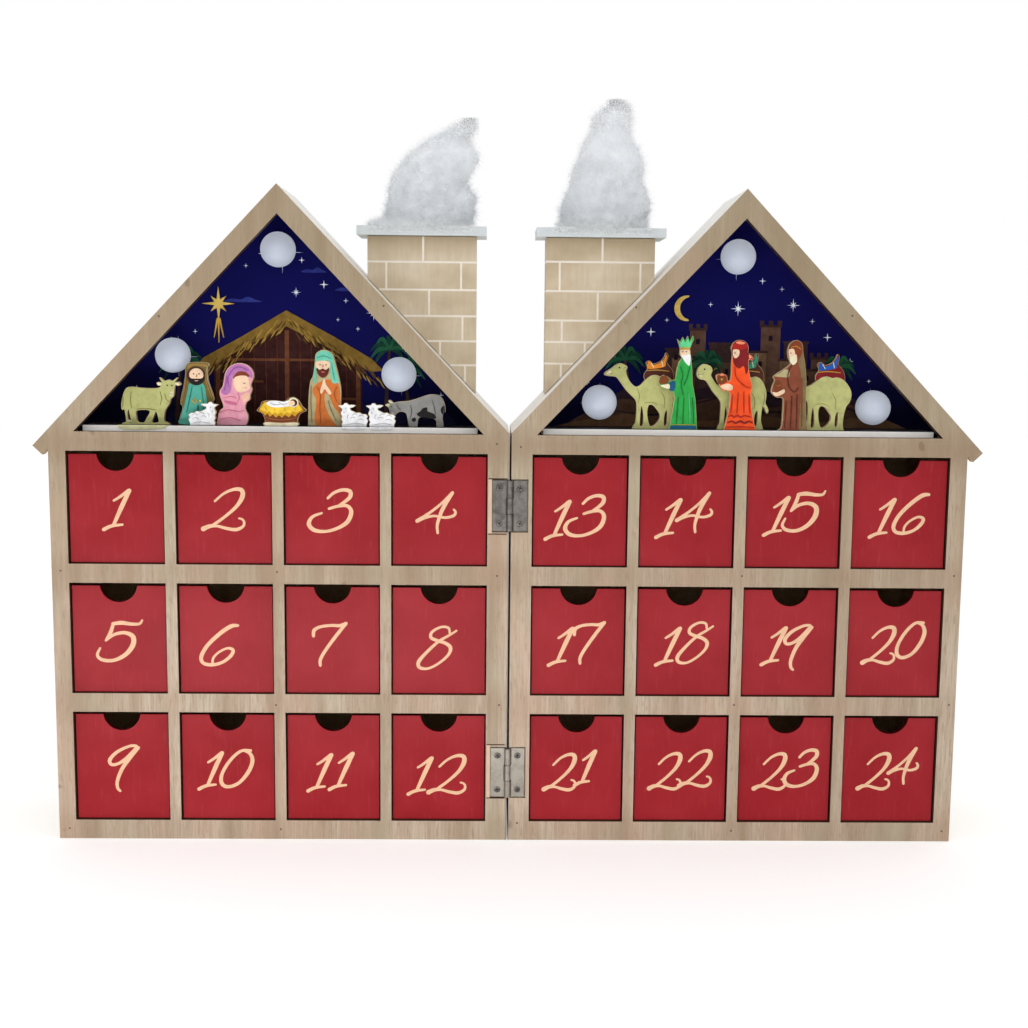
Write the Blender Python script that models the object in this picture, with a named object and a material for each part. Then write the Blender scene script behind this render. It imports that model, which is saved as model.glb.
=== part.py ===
"""Folding wooden advent calendar: two gable houses hinged at their front edges.

Each house has twelve drawers behind a plywood face frame, and a lit nativity scene in its gable.
All lengths are metres, +Z is up, and the fronts face -Y. x is zero on the fold line, and u is the
distance from that line out to either side. Depth is measured back from the plane of the face frames.
"""

import math

import bmesh
import bpy
from mathutils import Vector

# Face frame: windows, bars and rails
COLUMNS = 4
ROWS = 3
WINDOW_WIDTH = 0.0475
WINDOW_HEIGHT = 0.0559
BAR_WIDTH = 0.0055
RAIL_HEIGHT = 0.0095
BOTTOM_RAIL = 0.0098
TOP_RAIL = 0.0095
INNER_STILE = 0.0105
OUTER_STILE = 0.0084
FRAME_THICKNESS = 0.005
FOLD_GAP = 0.001

# Gable and roof
ROOF_PITCH = math.radians(46.5)
GABLE_INSET = 0.0126
ROOF_BAND = 0.0097
ROOF_THICKNESS = 0.005
TAIL_THICKNESS = 0.0065
EAVE_OVERHANG = 0.0075

# Case boards
CASE_DEPTH = 0.068
OUTER_WALL_THICKNESS = 0.006
INNER_WALL_THICKNESS = 0.0095
BACK_THICKNESS = 0.003
SHELF_THICKNESS = 0.0048
DIVIDER_THICKNESS = 0.0048
ATTIC_THICKNESS = 0.005
ATTIC_DROP = 0.002

# Clearances: between fixed neighbours, round a sliding drawer, and how far a cutter overruns
GAP = 0.0003
DRAWER_SIDE_GAP = 0.0006
DRAWER_TOP_GAP = 0.0016
OVERRUN = 0.001

# Edges bent more than this stay sharp on curved pieces
SHARP_ANGLE = math.radians(50)

# Drawers
DRAWER_RECESS = 0.002
DRAWER_FRONT_THICKNESS = 0.0035
DRAWER_WALL = 0.0025
DRAWER_FLOOR = 0.0025
NOTCH_RADIUS = 0.0092
NOTCH_DEPTH = 0.0083
NOTCH_STEPS = 10

# Hinges: a leaf's size, its barrel, and how far its middle lies from the middle of its drawer row
HINGE_HEIGHT = 0.0252
LEAF_WIDTH = 0.0085
LEAF_THICKNESS = 0.0012
BARREL_RADIUS = 0.0016
PIN_RADIUS = 0.0007
PIN_CLEARANCE = 0.0001
BARREL_CLEARANCE = 0.0004
KNUCKLES = 3
KNUCKLE_GAP = 0.0003
LEAF_INSET = 0.0001
HINGE_AXIS_DEPTH = -0.0005
HINGE_OFF_CENTRE = 0.0024
MORTISE_CLEARANCE = 0.0006
SCREW_RADIUS = 0.0009
SCREW_HEAD_RADIUS = 0.0017
SCREW_INSET = 0.0038
BARREL_STEPS = 16
SCREW_STEPS = 8

# Scene in the gable
SCENE_BOARD_MARGIN = 0.003
SCENE_BOARD_TOP = 0.0029
BACKDROP_DEPTH = 0.0293
BACKDROP_THICKNESS = 0.003
FIGURE_THICKNESS = 0.0028
FRONT_ROW_DEPTH = 0.0072
BACK_ROW_DEPTH = 0.012

# Lights: frosted globes in front of the backdrop, wired to a battery box in the back panel
GLOBE_RADIUS = 0.00875
SOCKET_RADIUS = 0.0032
SOCKET_TAIL = 0.0024
WIRE_RADIUS = 0.0008
BATTERY_LENGTH = 0.060
BATTERY_HEIGHT = 0.032
BATTERY_DEPTH = 0.0205
BATTERY_RAISE = 0.010
BATTERY_SINK = 0.0005
FLANGE_WIDTH = 0.003
FLANGE_THICKNESS = 0.0015
SWITCH_LENGTH = 0.0044
SWITCH_HEIGHT = 0.0034
SWITCH_TRAVEL = 0.004
SWITCH_DEPTH = 0.003
SWITCH_PROUD = 0.0003
SWITCH_PLACE = 0.018

# Chimneys and their smoke
CHIMNEY_INSET = 0.0175
CHIMNEY_WIDTH = 0.0544
CHIMNEY_DEPTH = 0.020
CHIMNEY_DROP = 0.0225
CAP_THICKNESS = 0.0045
CAP_OVERHANG = 0.0050
SMOKE_SOCKET_RADIUS = 0.007
SMOKE_SOCKET_DEPTH = 0.012
SMOKE_STEM_GAP = 0.0004
SMOKE_STEPS = 16
LEFT_SMOKE_HEIGHT = 0.0545
RIGHT_SMOKE_HEIGHT = 0.0645

# Sizes that follow from those above
HALF_START = FOLD_GAP / 2
HALF_WIDTH = INNER_STILE + COLUMNS * WINDOW_WIDTH + (COLUMNS - 1) * BAR_WIDTH + OUTER_STILE
HALF_END = HALF_START + HALF_WIDTH
MIDDLE = (HALF_START + HALF_END) / 2
COLUMN_PITCH = WINDOW_WIDTH + BAR_WIDTH
ROW_PITCH = WINDOW_HEIGHT + RAIL_HEIGHT
FIRST_WINDOW = HALF_START + INNER_STILE
SILL_HEIGHT = BOTTOM_RAIL + ROWS * WINDOW_HEIGHT + (ROWS - 1) * RAIL_HEIGHT + TOP_RAIL
RISE = math.tan(ROOF_PITCH)
ACROSS = 1 / math.cos(ROOF_PITCH)
WINDOW_APEX = SILL_HEIGHT + (HALF_WIDTH / 2 - GABLE_INSET) * RISE
PEAK = WINDOW_APEX + ROOF_BAND * ACROSS
BOARD_START = FRAME_THICKNESS + GAP
BACK_START = CASE_DEPTH - BACK_THICKNESS
BOARD_END = BACK_START - GAP
ATTIC_TOP = SILL_HEIGHT - ATTIC_DROP
ATTIC_BOTTOM = ATTIC_TOP - ATTIC_THICKNESS
SCENE_TOP = SILL_HEIGHT + SCENE_BOARD_TOP
ROOM_HEIGHT = WINDOW_APEX - SCENE_TOP
SCENE_BOARD_LENGTH = HALF_WIDTH - 2 * (GABLE_INSET + SCENE_BOARD_MARGIN)
GLOBE_DEPTH = BACKDROP_DEPTH - GAP - GLOBE_RADIUS
CHIMNEY_TOP = PEAK - CHIMNEY_DROP
CAP_TOP = CHIMNEY_TOP + GAP + CAP_THICKNESS
CHIMNEY_MIDDLE = CHIMNEY_INSET + CHIMNEY_WIDTH / 2
CHIMNEY_MIDDLE_DEPTH = (BOARD_START + BOARD_END) / 2
CHIMNEY_FRONT = CHIMNEY_MIDDLE_DEPTH - CHIMNEY_DEPTH / 2
CHIMNEY_BACK = CHIMNEY_MIDDLE_DEPTH + CHIMNEY_DEPTH / 2
BATTERY_BACK = CASE_DEPTH - BATTERY_SINK
BATTERY_FRONT = BATTERY_BACK - BATTERY_DEPTH
BATTERY_LOW = SILL_HEIGHT + BATTERY_RAISE
BATTERY_MIDDLE = BATTERY_LOW + BATTERY_HEIGHT / 2

# The whole object is centred front to back, hinge barrels included
FRONT_Y = (BARREL_RADIUS - HINGE_AXIS_DEPTH - CASE_DEPTH) / 2
AXIS_Y = FRONT_Y + HINGE_AXIS_DEPTH

LEFT = -1
RIGHT = 1

# Outlines of the flat figures, as shares of each figure's width and height, seen from the front
OX_SHARES = (
    (0.06, 0), (0.17, 0), (0.20, 0.22), (0.21, 0), (0.29, 0), (0.30, 0.28), (0.48, 0.28), (0.43, 0),
    (0.53, 0), (0.60, 0.20), (0.63, 0), (0.76, 0), (0.72, 0.30), (0.80, 0.48), (0.88, 0.56),
    (0.92, 0.78), (1.0, 0.84), (0.94, 0.90), (0.91, 1.0), (0.84, 0.92), (0.74, 0.92), (0.67, 1.0),
    (0.66, 0.90), (0.59, 0.85), (0.64, 0.78), (0.20, 0.80), (0.08, 0.72), (0.02, 0.50), (0, 0.26),
    (0.04, 0.24),
)
JOSEPH_SHARES = (
    (0, 0), (1.0, 0), (0.97, 0.42), (0.88, 0.68), (0.86, 0.94), (0.78, 1.0), (0.32, 1.0), (0.24, 0.93),
    (0.22, 0.66), (0.08, 0.30),
)
SHEEP_SHARES = (
    (0.12, 0), (0.24, 0), (0.27, 0.22), (0.56, 0.22), (0.58, 0), (0.70, 0), (0.73, 0.28), (0.80, 0.50),
    (0.97, 0.56), (1.0, 0.70), (0.90, 0.92), (0.76, 1.0), (0.66, 0.90), (0.30, 0.88), (0.08, 0.74),
    (0, 0.48), (0.10, 0.24),
)
MARY_SHARES = (
    (0, 0), (0.92, 0), (1.0, 0.10), (0.97, 0.28), (0.90, 0.42), (0.90, 0.54), (0.86, 0.62), (0.92, 0.76),
    (0.85, 0.93), (0.66, 1.0), (0.42, 0.96), (0.26, 0.82), (0.20, 0.62), (0.05, 0.46), (0.08, 0.28),
)
MANGER_SHARES = (
    (0.16, 0), (0.28, 0), (0.38, 0.18), (0.62, 0.18), (0.72, 0), (0.84, 0), (0.82, 0.20), (0.90, 0.46),
    (1.0, 0.62), (0.94, 0.76), (0.80, 0.82), (0.70, 0.97), (0.54, 1.0), (0.32, 0.86), (0.12, 0.80),
    (0, 0.62), (0.10, 0.44), (0.18, 0.20),
)
SHEPHERD_SHARES = (
    (0.06, 0), (0.94, 0), (1.0, 0.30), (0.94, 0.62), (0.86, 0.74), (0.90, 0.86), (0.80, 0.97),
    (0.60, 1.0), (0.40, 0.95), (0.32, 0.84), (0.34, 0.73), (0.12, 0.62), (0.04, 0.44), (0, 0.24),
)
DONKEY_SHARES = (
    (0.04, 0), (0.13, 0), (0.14, 0.34), (0.22, 0.46), (0.34, 0.44), (0.37, 0), (0.48, 0), (0.52, 0.24),
    (0.58, 0.33), (0.72, 0.30), (0.79, 0), (0.90, 0), (0.91, 0.32), (1.0, 0.40), (0.98, 0.68),
    (0.90, 0.88), (0.74, 1.0), (0.56, 0.93), (0.34, 0.82), (0.20, 0.82), (0.11, 0.93), (0.05, 0.86),
    (0.07, 0.72), (0, 0.60), (0.03, 0.40),
)
CAMEL_SHARES = (
    (0.43, 0), (0.53, 0), (0.545, 0.28), (0.56, 0), (0.64, 0), (0.65, 0.24), (0.70, 0.34), (0.78, 0.30),
    (0.83, 0.16), (0.84, 0), (0.96, 0), (0.97, 0.30), (1.0, 0.60), (0.93, 0.76), (0.94, 0.96),
    (0.76, 0.90), (0.58, 0.98), (0.60, 0.80), (0.47, 0.65), (0.38, 0.80), (0.34, 0.94), (0.24, 1.0),
    (0.12, 0.94), (0, 0.82), (0.06, 0.76), (0.20, 0.78), (0.30, 0.62), (0.42, 0.46),
)
CROWNED_KING_SHARES = (
    (0, 0), (1.0, 0), (0.96, 0.35), (0.84, 0.58), (0.82, 0.72), (0.74, 0.79), (0.78, 0.86), (0.86, 0.98),
    (0.68, 0.94), (0.56, 1.0), (0.46, 0.94), (0.28, 0.98), (0.36, 0.86), (0.36, 0.78), (0.30, 0.70),
    (0.18, 0.60), (0.08, 0.30),
)
HATTED_KING_SHARES = (
    (0, 0), (1.0, 0), (0.98, 0.36), (0.86, 0.62), (0.80, 0.74), (0.78, 0.84), (0.84, 0.90), (0.72, 0.98),
    (0.52, 1.0), (0.32, 0.97), (0.24, 0.89), (0.30, 0.84), (0.28, 0.76), (0.18, 0.66), (0.06, 0.36),
)
GIFT_KING_SHARES = (
    (0.24, 0), (1.0, 0), (0.98, 0.40), (0.96, 0.72), (0.88, 0.80), (0.86, 0.96), (0.68, 1.0), (0.52, 0.96),
    (0.50, 0.86), (0.48, 0.76), (0.40, 0.68), (0.10, 0.60), (0.04, 0.54), (0.10, 0.46), (0, 0.40),
    (0.06, 0.35), (0.34, 0.38), (0.32, 0.20),
)

# Each figure: outline, mirrored or not, then its middle and its width as shares of the scene board's
# length, its height as a share of the room over the board, and the depth of its row
LEFT_FIGURES_SHARES = (
    ("ox", OX_SHARES, False, 0.166, 0.156, 0.223, BACK_ROW_DEPTH),
    ("joseph", JOSEPH_SHARES, False, 0.282, 0.095, 0.302, BACK_ROW_DEPTH),
    ("sheep_a", SHEEP_SHARES, False, 0.301, 0.071, 0.112, FRONT_ROW_DEPTH),
    ("mary", MARY_SHARES, False, 0.381, 0.100, 0.300, BACK_ROW_DEPTH),
    ("manger", MANGER_SHARES, False, 0.501, 0.127, 0.140, FRONT_ROW_DEPTH),
    ("shepherd", SHEPHERD_SHARES, False, 0.607, 0.087, 0.371, BACK_ROW_DEPTH),
    ("sheep_b", SHEEP_SHARES, True, 0.681, 0.068, 0.113, FRONT_ROW_DEPTH),
    ("sheep_c", SHEEP_SHARES, True, 0.754, 0.074, 0.115, FRONT_ROW_DEPTH),
    ("donkey", DONKEY_SHARES, False, 0.840, 0.157, 0.158, BACK_ROW_DEPTH),
)
RIGHT_FIGURES_SHARES = (
    ("camel_a", CAMEL_SHARES, False, 0.243, 0.173, 0.327, BACK_ROW_DEPTH),
    ("green_king", CROWNED_KING_SHARES, False, 0.358, 0.074, 0.459, FRONT_ROW_DEPTH),
    ("camel_b", CAMEL_SHARES, False, 0.494, 0.191, 0.332, BACK_ROW_DEPTH),
    ("red_king", HATTED_KING_SHARES, False, 0.500, 0.093, 0.437, FRONT_ROW_DEPTH),
    ("brown_king", GIFT_KING_SHARES, False, 0.635, 0.100, 0.440, FRONT_ROW_DEPTH),
    ("camel_c", CAMEL_SHARES, False, 0.716, 0.173, 0.327, BACK_ROW_DEPTH),
)

# Globes: distance from the gable's middle as a share of the scene board's length, and height over the
# board as a share of the room
LEFT_GLOBES_SHARES = ((0.013, 0.846), (0.285, 0.334), (-0.295, 0.250))
RIGHT_GLOBES_SHARES = ((-0.001, 0.834), (-0.352, 0.123), (0.361, 0.108))

# Smoke: height as a share of its own, then its middle's shift and its half width as shares of the
# chimney's width, shift counted away from the fold line
LEFT_SMOKE_SHARES = (
    (0.0, 0.0, 0.36), (0.06, 0.0, 0.40), (0.36, -0.03, 0.39), (0.58, -0.12, 0.36), (0.76, -0.20, 0.27),
    (0.89, -0.28, 0.17), (1.0, -0.38, 0.05),
)
RIGHT_SMOKE_SHARES = (
    (0.0, 0.01, 0.36), (0.05, 0.02, 0.39), (0.34, 0.07, 0.40), (0.54, 0.09, 0.34), (0.71, 0.10, 0.26),
    (0.86, 0.10, 0.18), (0.94, 0.12, 0.11), (1.0, 0.11, 0.04),
)
SMOKE_DEPTH_SHARE = 0.85
SMOKE_LOBE_SHARE = 0.05
SMOKE_LOBES = 3

# Colour, roughness and metallic value of each material
FINISHES = {
    "birch_plywood": ((0.52, 0.39, 0.26, 1), 0.6, 0),
    "back_board": ((0.42, 0.31, 0.20, 1), 0.7, 0),
    "white_paint": ((0.80, 0.80, 0.80, 1), 0.5, 0),
    "red_paint": ((0.42, 0.02, 0.02, 1), 0.4, 0),
    "night_blue": ((0.01, 0.015, 0.16, 1), 0.5, 0),
    "chimney_wood": ((0.55, 0.42, 0.28, 1), 0.65, 0),
    "zinc": ((0.45, 0.45, 0.46, 1), 0.35, 1),
    "figure_wood": ((0.60, 0.50, 0.30, 1), 0.55, 0),
    "frosted_plastic": ((0.85, 0.85, 0.86, 1), 0.35, 0),
    "black_plastic": ((0.02, 0.02, 0.02, 1), 0.4, 0),
    "white_fibre": ((0.85, 0.87, 0.88, 1), 0.95, 0),
}


def make_material(name):
    """Return the Principled BSDF material of that name, made once."""
    found = bpy.data.materials.get(name)
    if found:
        return found
    colour, roughness, metallic = FINISHES[name]
    material = bpy.data.materials.new(name)
    material.use_nodes = True
    shader = material.node_tree.nodes["Principled BSDF"]
    shader.inputs["Base Color"].default_value = colour
    shader.inputs["Roughness"].default_value = roughness
    shader.inputs["Metallic"].default_value = metallic
    return material


def to_mesh(bm, name):
    """Close a bmesh off as a mesh whose faces point out."""
    bmesh.ops.recalc_face_normals(bm, faces=bm.faces)
    mesh = bpy.data.meshes.new(name)
    bm.to_mesh(mesh)
    bm.free()
    return mesh


def rounded(mesh):
    """Shade a mesh smooth over its curves and sharp at its real edges."""
    mesh.shade_smooth()
    mesh.set_sharp_from_angle(angle=SHARP_ANGLE)
    return mesh


def add_piece(name, mesh, finish, parent, place=(0, -HINGE_AXIS_DEPTH, 0)):
    """Add a mesh as a named object under its half; place is measured from the fold axis."""
    piece = bpy.data.objects.new(name, mesh)
    bpy.context.scene.collection.objects.link(piece)
    piece.parent = parent
    piece.location = place
    if not mesh.materials:
        mesh.materials.append(make_material(finish))
    return piece


def add_half(name):
    """Add the empty that carries one half; both stand on the fold axis."""
    half = bpy.data.objects.new(name, None)
    bpy.context.scene.collection.objects.link(half)
    half.location = (0, AXIS_Y, 0)
    return half


def prism(name, rings, start, end, corner):
    """Extrude each outline, on its own, from start to end; corner maps (a, b, t) to a point."""
    bm = bmesh.new()
    for ring in rings:
        near = [bm.verts.new(corner(a, b, start)) for a, b in ring]
        far = [bm.verts.new(corner(a, b, end)) for a, b in ring]
        skin_rings(bm, [near, far])
    return to_mesh(bm, name)


def skin_rings(bm, rings):
    """Bridge rings of points in turn and close both ends."""
    for low, high in zip(rings, rings[1:]):
        for i in range(len(low)):
            j = (i + 1) % len(low)
            bm.faces.new((low[i], low[j], high[j], high[i]))
    bm.faces.new(rings[0][::-1])
    bm.faces.new(rings[-1])


def plate(name, side, ring, front, back):
    """A board whose outline is seen from the front, in (u, z), and whose thickness is its depth."""
    return plates(name, side, [ring], front, back)


def plates(name, side, rings, front, back):
    """Several such boards in one mesh, for a tool that cuts several holes."""
    return prism(name, rings, front, back, lambda u, z, depth: (side * u, depth, z))


def slab(name, side, ring, low, high):
    """A board whose outline is seen from above, in (u, depth), and whose thickness is its height."""
    return prism(name, [ring], low, high, lambda u, depth, z: (side * u, depth, z))


def rectangle(left, right, low, high):
    """Four corners, counter-clockwise."""
    return ((left, low), (right, low), (right, high), (left, high))


def circle(across, up, radius, steps):
    """A round outline."""
    turns = [2 * math.pi * step / steps for step in range(steps)]
    return [(across + radius * math.cos(turn), up + radius * math.sin(turn)) for turn in turns]


def combine(target, tool, operation):
    """Join to the target, or cut from it, a tool that is not itself a piece."""
    tool.hide_render = True
    tool.display_type = "WIRE"
    step = target.modifiers.new(tool.name, "BOOLEAN")
    step.operation = operation
    step.solver = "EXACT"
    step.object = tool


def cut(target, name, mesh, parent, place=(0, -HINGE_AXIS_DEPTH, 0)):
    """Cut a mesh out of the target."""
    combine(target, add_piece(name, mesh, "zinc", parent, place), "DIFFERENCE")


def join(target, name, mesh, parent, place=(0, -HINGE_AXIS_DEPTH, 0)):
    """Join a mesh to the target."""
    combine(target, add_piece(name, mesh, "zinc", parent, place), "UNION")


def roof_top(u):
    """Height of the roof's upper line at a distance from the fold line."""
    return PEAK - abs(u - MIDDLE) * RISE


def roof_under(u, clear=0.0):
    """Height of the underside of the roof boards, less a clearance square to it."""
    return roof_top(u) - (ROOF_THICKNESS + clear) * ACROSS


def under_roof(floor, inner, outer, clear):
    """Outline of a board that fills the space under the roof boards, above a floor."""
    apex = roof_under(MIDDLE, clear)
    reach = (apex - floor) / RISE
    left = max(inner, MIDDLE - reach)
    right = min(outer, MIDDLE + reach)
    outline = [(left, floor), (right, floor)]
    if right < MIDDLE + reach:
        outline.append((right, roof_under(right, clear)))
    outline.append((MIDDLE, apex))
    if left > MIDDLE - reach:
        outline.append((left, roof_under(left, clear)))
    return outline


def eave_end(thickness):
    """Upper and lower corner of the eave's end, cut square to the slope."""
    tip = HALF_END + EAVE_OVERHANG
    drop = thickness * math.sin(ROOF_PITCH)
    return (tip, roof_top(tip)), (tip - drop, roof_top(tip) - thickness * math.cos(ROOF_PITCH))


def window_sill(row):
    """Height of the sill of a row of windows, the lowest row being 0."""
    return BOTTOM_RAIL + row * ROW_PITCH


def window_start(column):
    """Distance from the fold line to the near edge of a column of windows."""
    return FIRST_WINDOW + column * COLUMN_PITCH


def hinge_middles():
    """Heights of the middles of the lower and the upper hinge."""
    lower = window_sill(0) + WINDOW_HEIGHT / 2 - HINGE_OFF_CENTRE
    upper = window_sill(ROWS - 1) + WINDOW_HEIGHT / 2 + HINGE_OFF_CENTRE
    return {"lower": lower, "upper": upper}


def face_frame(half, prefix, side):
    """One plywood sheet with twelve drawer windows, the gable window and the hinge mortises."""
    tip, heel = eave_end(TAIL_THICKNESS)
    wall_top = roof_top(HALF_END) - TAIL_THICKNESS * ACROSS
    outline = (
        (HALF_START, 0), (HALF_END, 0), (HALF_END, wall_top), heel, tip, (MIDDLE, PEAK),
        (HALF_START, roof_top(HALF_START)),
    )
    name = prefix + "face_frame"
    frame = add_piece(name, plate(name, side, outline, 0, FRAME_THICKNESS), "birch_plywood", half)
    reach = (WINDOW_APEX - SILL_HEIGHT) / RISE
    windows = [((MIDDLE - reach, SILL_HEIGHT), (MIDDLE + reach, SILL_HEIGHT), (MIDDLE, WINDOW_APEX))]
    for row in range(ROWS):
        for column in range(COLUMNS):
            left = window_start(column)
            sill = window_sill(row)
            windows.append(rectangle(left, left + WINDOW_WIDTH, sill, sill + WINDOW_HEIGHT))
    name = prefix + "windows"
    cut(frame, name, plates(name, side, windows, -OVERRUN, FRAME_THICKNESS + OVERRUN), half)
    mortises = []
    for middle in hinge_middles().values():
        reach = HINGE_HEIGHT / 2 + MORTISE_CLEARANCE
        mortises.append(rectangle(-OVERRUN, LEAF_WIDTH + MORTISE_CLEARANCE, middle - reach, middle + reach))
    name = prefix + "mortises"
    cut(frame, name, plates(name, side, mortises, -OVERRUN, LEAF_THICKNESS + GAP), half)


def case_boards(half, prefix, side):
    """Base, walls, attic floor and back panel."""
    wall_in = HALF_START + INNER_WALL_THICKNESS
    wall_out = HALF_END - OUTER_WALL_THICKNESS
    inner_wall = (
        (HALF_START, 0), (wall_in, 0), (wall_in, roof_under(wall_in, GAP)),
        (HALF_START, roof_under(HALF_START, GAP)),
    )
    outer_wall = (
        (wall_out, 0), (HALF_END, 0), (HALF_END, roof_under(HALF_END, GAP)),
        (wall_out, roof_under(wall_out, GAP)),
    )
    base = rectangle(wall_in + GAP, wall_out - GAP, 0, BOTTOM_RAIL)
    attic = rectangle(wall_in + GAP, wall_out - GAP, ATTIC_BOTTOM, ATTIC_TOP)
    for name, ring in (
        ("inner_wall", inner_wall), ("outer_wall", outer_wall), ("base_board", base), ("attic_floor", attic),
    ):
        mesh = plate(prefix + name, side, ring, BOARD_START, BOARD_END)
        add_piece(prefix + name, mesh, "birch_plywood", half)
    outline = under_roof(0, HALF_START, HALF_END, GAP)
    mesh = plate(prefix + "back_panel", side, outline, BACK_START, CASE_DEPTH)
    back = add_piece(prefix + "back_panel", mesh, "back_board", half)
    opening = rectangle(
        MIDDLE - BATTERY_LENGTH / 2 - GAP, MIDDLE + BATTERY_LENGTH / 2 + GAP,
        BATTERY_LOW - GAP, BATTERY_LOW + BATTERY_HEIGHT + GAP,
    )
    name = prefix + "battery_opening"
    cut(back, name, plate(name, side, opening, BACK_START - OVERRUN, CASE_DEPTH + OVERRUN), half)


def drawer_rack(half, prefix, side):
    """Shelves and dividers, half-lapped into one grid behind the bars and rails."""
    inner = HALF_START + INNER_WALL_THICKNESS + GAP
    outer = HALF_END - OUTER_WALL_THICKNESS - GAP
    low = BOTTOM_RAIL + GAP
    high = ATTIC_BOTTOM - GAP
    shelves = [(window_sill(row) - SHELF_THICKNESS, window_sill(row)) for row in range(1, ROWS)]
    reach = DIVIDER_THICKNESS / 2
    middles = [window_start(column) - BAR_WIDTH / 2 for column in range(1, COLUMNS)]
    dividers = [(middle - reach, middle + reach) for middle in middles]
    outline = []
    for start, end in dividers:
        outline += [(start, shelves[0][0]), (start, low), (end, low), (end, shelves[0][0])]
    outline += [(outer, shelves[0][0]), (outer, shelves[0][1])]
    outline += [(dividers[-1][1], shelves[0][1]), (dividers[-1][1], shelves[1][0])]
    outline += [(outer, shelves[1][0]), (outer, shelves[1][1])]
    for start, end in reversed(dividers):
        outline += [(end, shelves[1][1]), (end, high), (start, high), (start, shelves[1][1])]
    outline += [(inner, shelves[1][1]), (inner, shelves[1][0])]
    outline += [(dividers[0][0], shelves[1][0]), (dividers[0][0], shelves[0][1])]
    outline += [(inner, shelves[0][1]), (inner, shelves[0][0])]
    name = prefix + "drawer_rack"
    rack = add_piece(name, plate(name, side, outline, BOARD_START, BOARD_END), "birch_plywood", half)
    cells = []
    for start, end in zip(dividers, dividers[1:]):
        cells.append(rectangle(start[1], end[0], shelves[0][1], shelves[1][0]))
    name = prefix + "rack_cells"
    cut(rack, name, plates(name, side, cells, BOARD_START - OVERRUN, BOARD_END + OVERRUN), half)


def roof_boards(half, prefix, side):
    """Two boards that meet at the ridge; the outer one runs out past the wall as an eave."""
    tip, heel = eave_end(ROOF_THICKNESS)
    near = MIDDLE - GAP / 2
    far = MIDDLE + GAP / 2
    outer = ((far, roof_under(far)), heel, tip, (far, roof_top(far)))
    inner = (
        (HALF_START, roof_under(HALF_START)), (near, roof_under(near)), (near, roof_top(near)),
        (HALF_START, roof_top(HALF_START)),
    )
    for name, ring in (("outer_roof_board", outer), ("inner_roof_board", inner)):
        mesh = plate(prefix + name, side, ring, BOARD_START, CASE_DEPTH)
        add_piece(prefix + name, mesh, "white_paint", half)


def drawer_mesh():
    """An open box with a round finger notch in its front; the origin is under the front's middle."""
    half_width = WINDOW_WIDTH / 2 - DRAWER_SIDE_GAP
    height = WINDOW_HEIGHT - GAP - DRAWER_TOP_GAP
    length = BOARD_END - GAP - DRAWER_RECESS
    inner_half = half_width - DRAWER_WALL
    inner_back = length - DRAWER_WALL
    centre = height + NOTCH_RADIUS - NOTCH_DEPTH
    spread = math.acos((NOTCH_RADIUS - NOTCH_DEPTH) / NOTCH_RADIUS)
    turns = [spread - 2 * spread * step / NOTCH_STEPS for step in range(NOTCH_STEPS + 1)]
    notch = [(NOTCH_RADIUS * math.sin(t), centre - NOTCH_RADIUS * math.cos(t)) for t in turns]
    bm = bmesh.new()

    def row(points, depth):
        return [bm.verts.new((x, depth, z)) for x, z in points]

    outer_front = row([(-half_width, 0), (half_width, 0), (half_width, height)], 0)
    outer_left_top = row([(-half_width, height)], 0)[0]
    outer_notch = row(notch, 0)
    outer_back = row(rectangle(-half_width, half_width, 0, height), length)
    inner_front = row(
        [(-inner_half, DRAWER_FLOOR), (inner_half, DRAWER_FLOOR), (inner_half, height)],
        DRAWER_FRONT_THICKNESS,
    )
    inner_left_top = row([(-inner_half, height)], DRAWER_FRONT_THICKNESS)[0]
    inner_notch = row(notch, DRAWER_FRONT_THICKNESS)
    inner_back_row = row(rectangle(-inner_half, inner_half, DRAWER_FLOOR, height), inner_back)
    bm.faces.new(outer_front + outer_notch + [outer_left_top])
    bm.faces.new([inner_left_top] + inner_notch[::-1] + inner_front[::-1])
    for near, far in zip(zip(outer_notch, outer_notch[1:]), zip(inner_notch, inner_notch[1:])):
        bm.faces.new((near[0], near[1], far[1], far[0]))
    bm.faces.new(outer_back[::-1])
    bm.faces.new(inner_back_row)
    bm.faces.new((outer_front[0], outer_back[0], outer_back[1], outer_front[1]))
    bm.faces.new((outer_front[1], outer_back[1], outer_back[2], outer_front[2]))
    bm.faces.new((outer_left_top, outer_back[3], outer_back[0], outer_front[0]))
    bm.faces.new((inner_front[0], inner_front[1], inner_back_row[1], inner_back_row[0]))
    bm.faces.new((inner_front[1], inner_front[2], inner_back_row[2], inner_back_row[1]))
    bm.faces.new((inner_left_top, inner_front[0], inner_back_row[0], inner_back_row[3]))
    rim = [outer_notch[0], outer_front[2], outer_back[2], outer_back[3], outer_left_top, outer_notch[-1]]
    rim += [inner_notch[-1], inner_left_top, inner_back_row[3], inner_back_row[2]]
    rim += [inner_front[2], inner_notch[0]]
    bm.faces.new(rim)
    return rounded(to_mesh(bm, "drawer"))


def drawers(half, side, first_number, mesh):
    """Twelve drawers, numbered along each row from the left and down from the top row."""
    for index in range(COLUMNS * ROWS):
        row = ROWS - 1 - index // COLUMNS
        place = index % COLUMNS
        column = place if side == RIGHT else COLUMNS - 1 - place
        middle = side * (window_start(column) + WINDOW_WIDTH / 2)
        name = "drawer_{:02d}".format(first_number + index)
        where = (middle, DRAWER_RECESS - HINGE_AXIS_DEPTH, window_sill(row) + GAP)
        add_piece(name, mesh, "red_paint", half, where)


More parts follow.
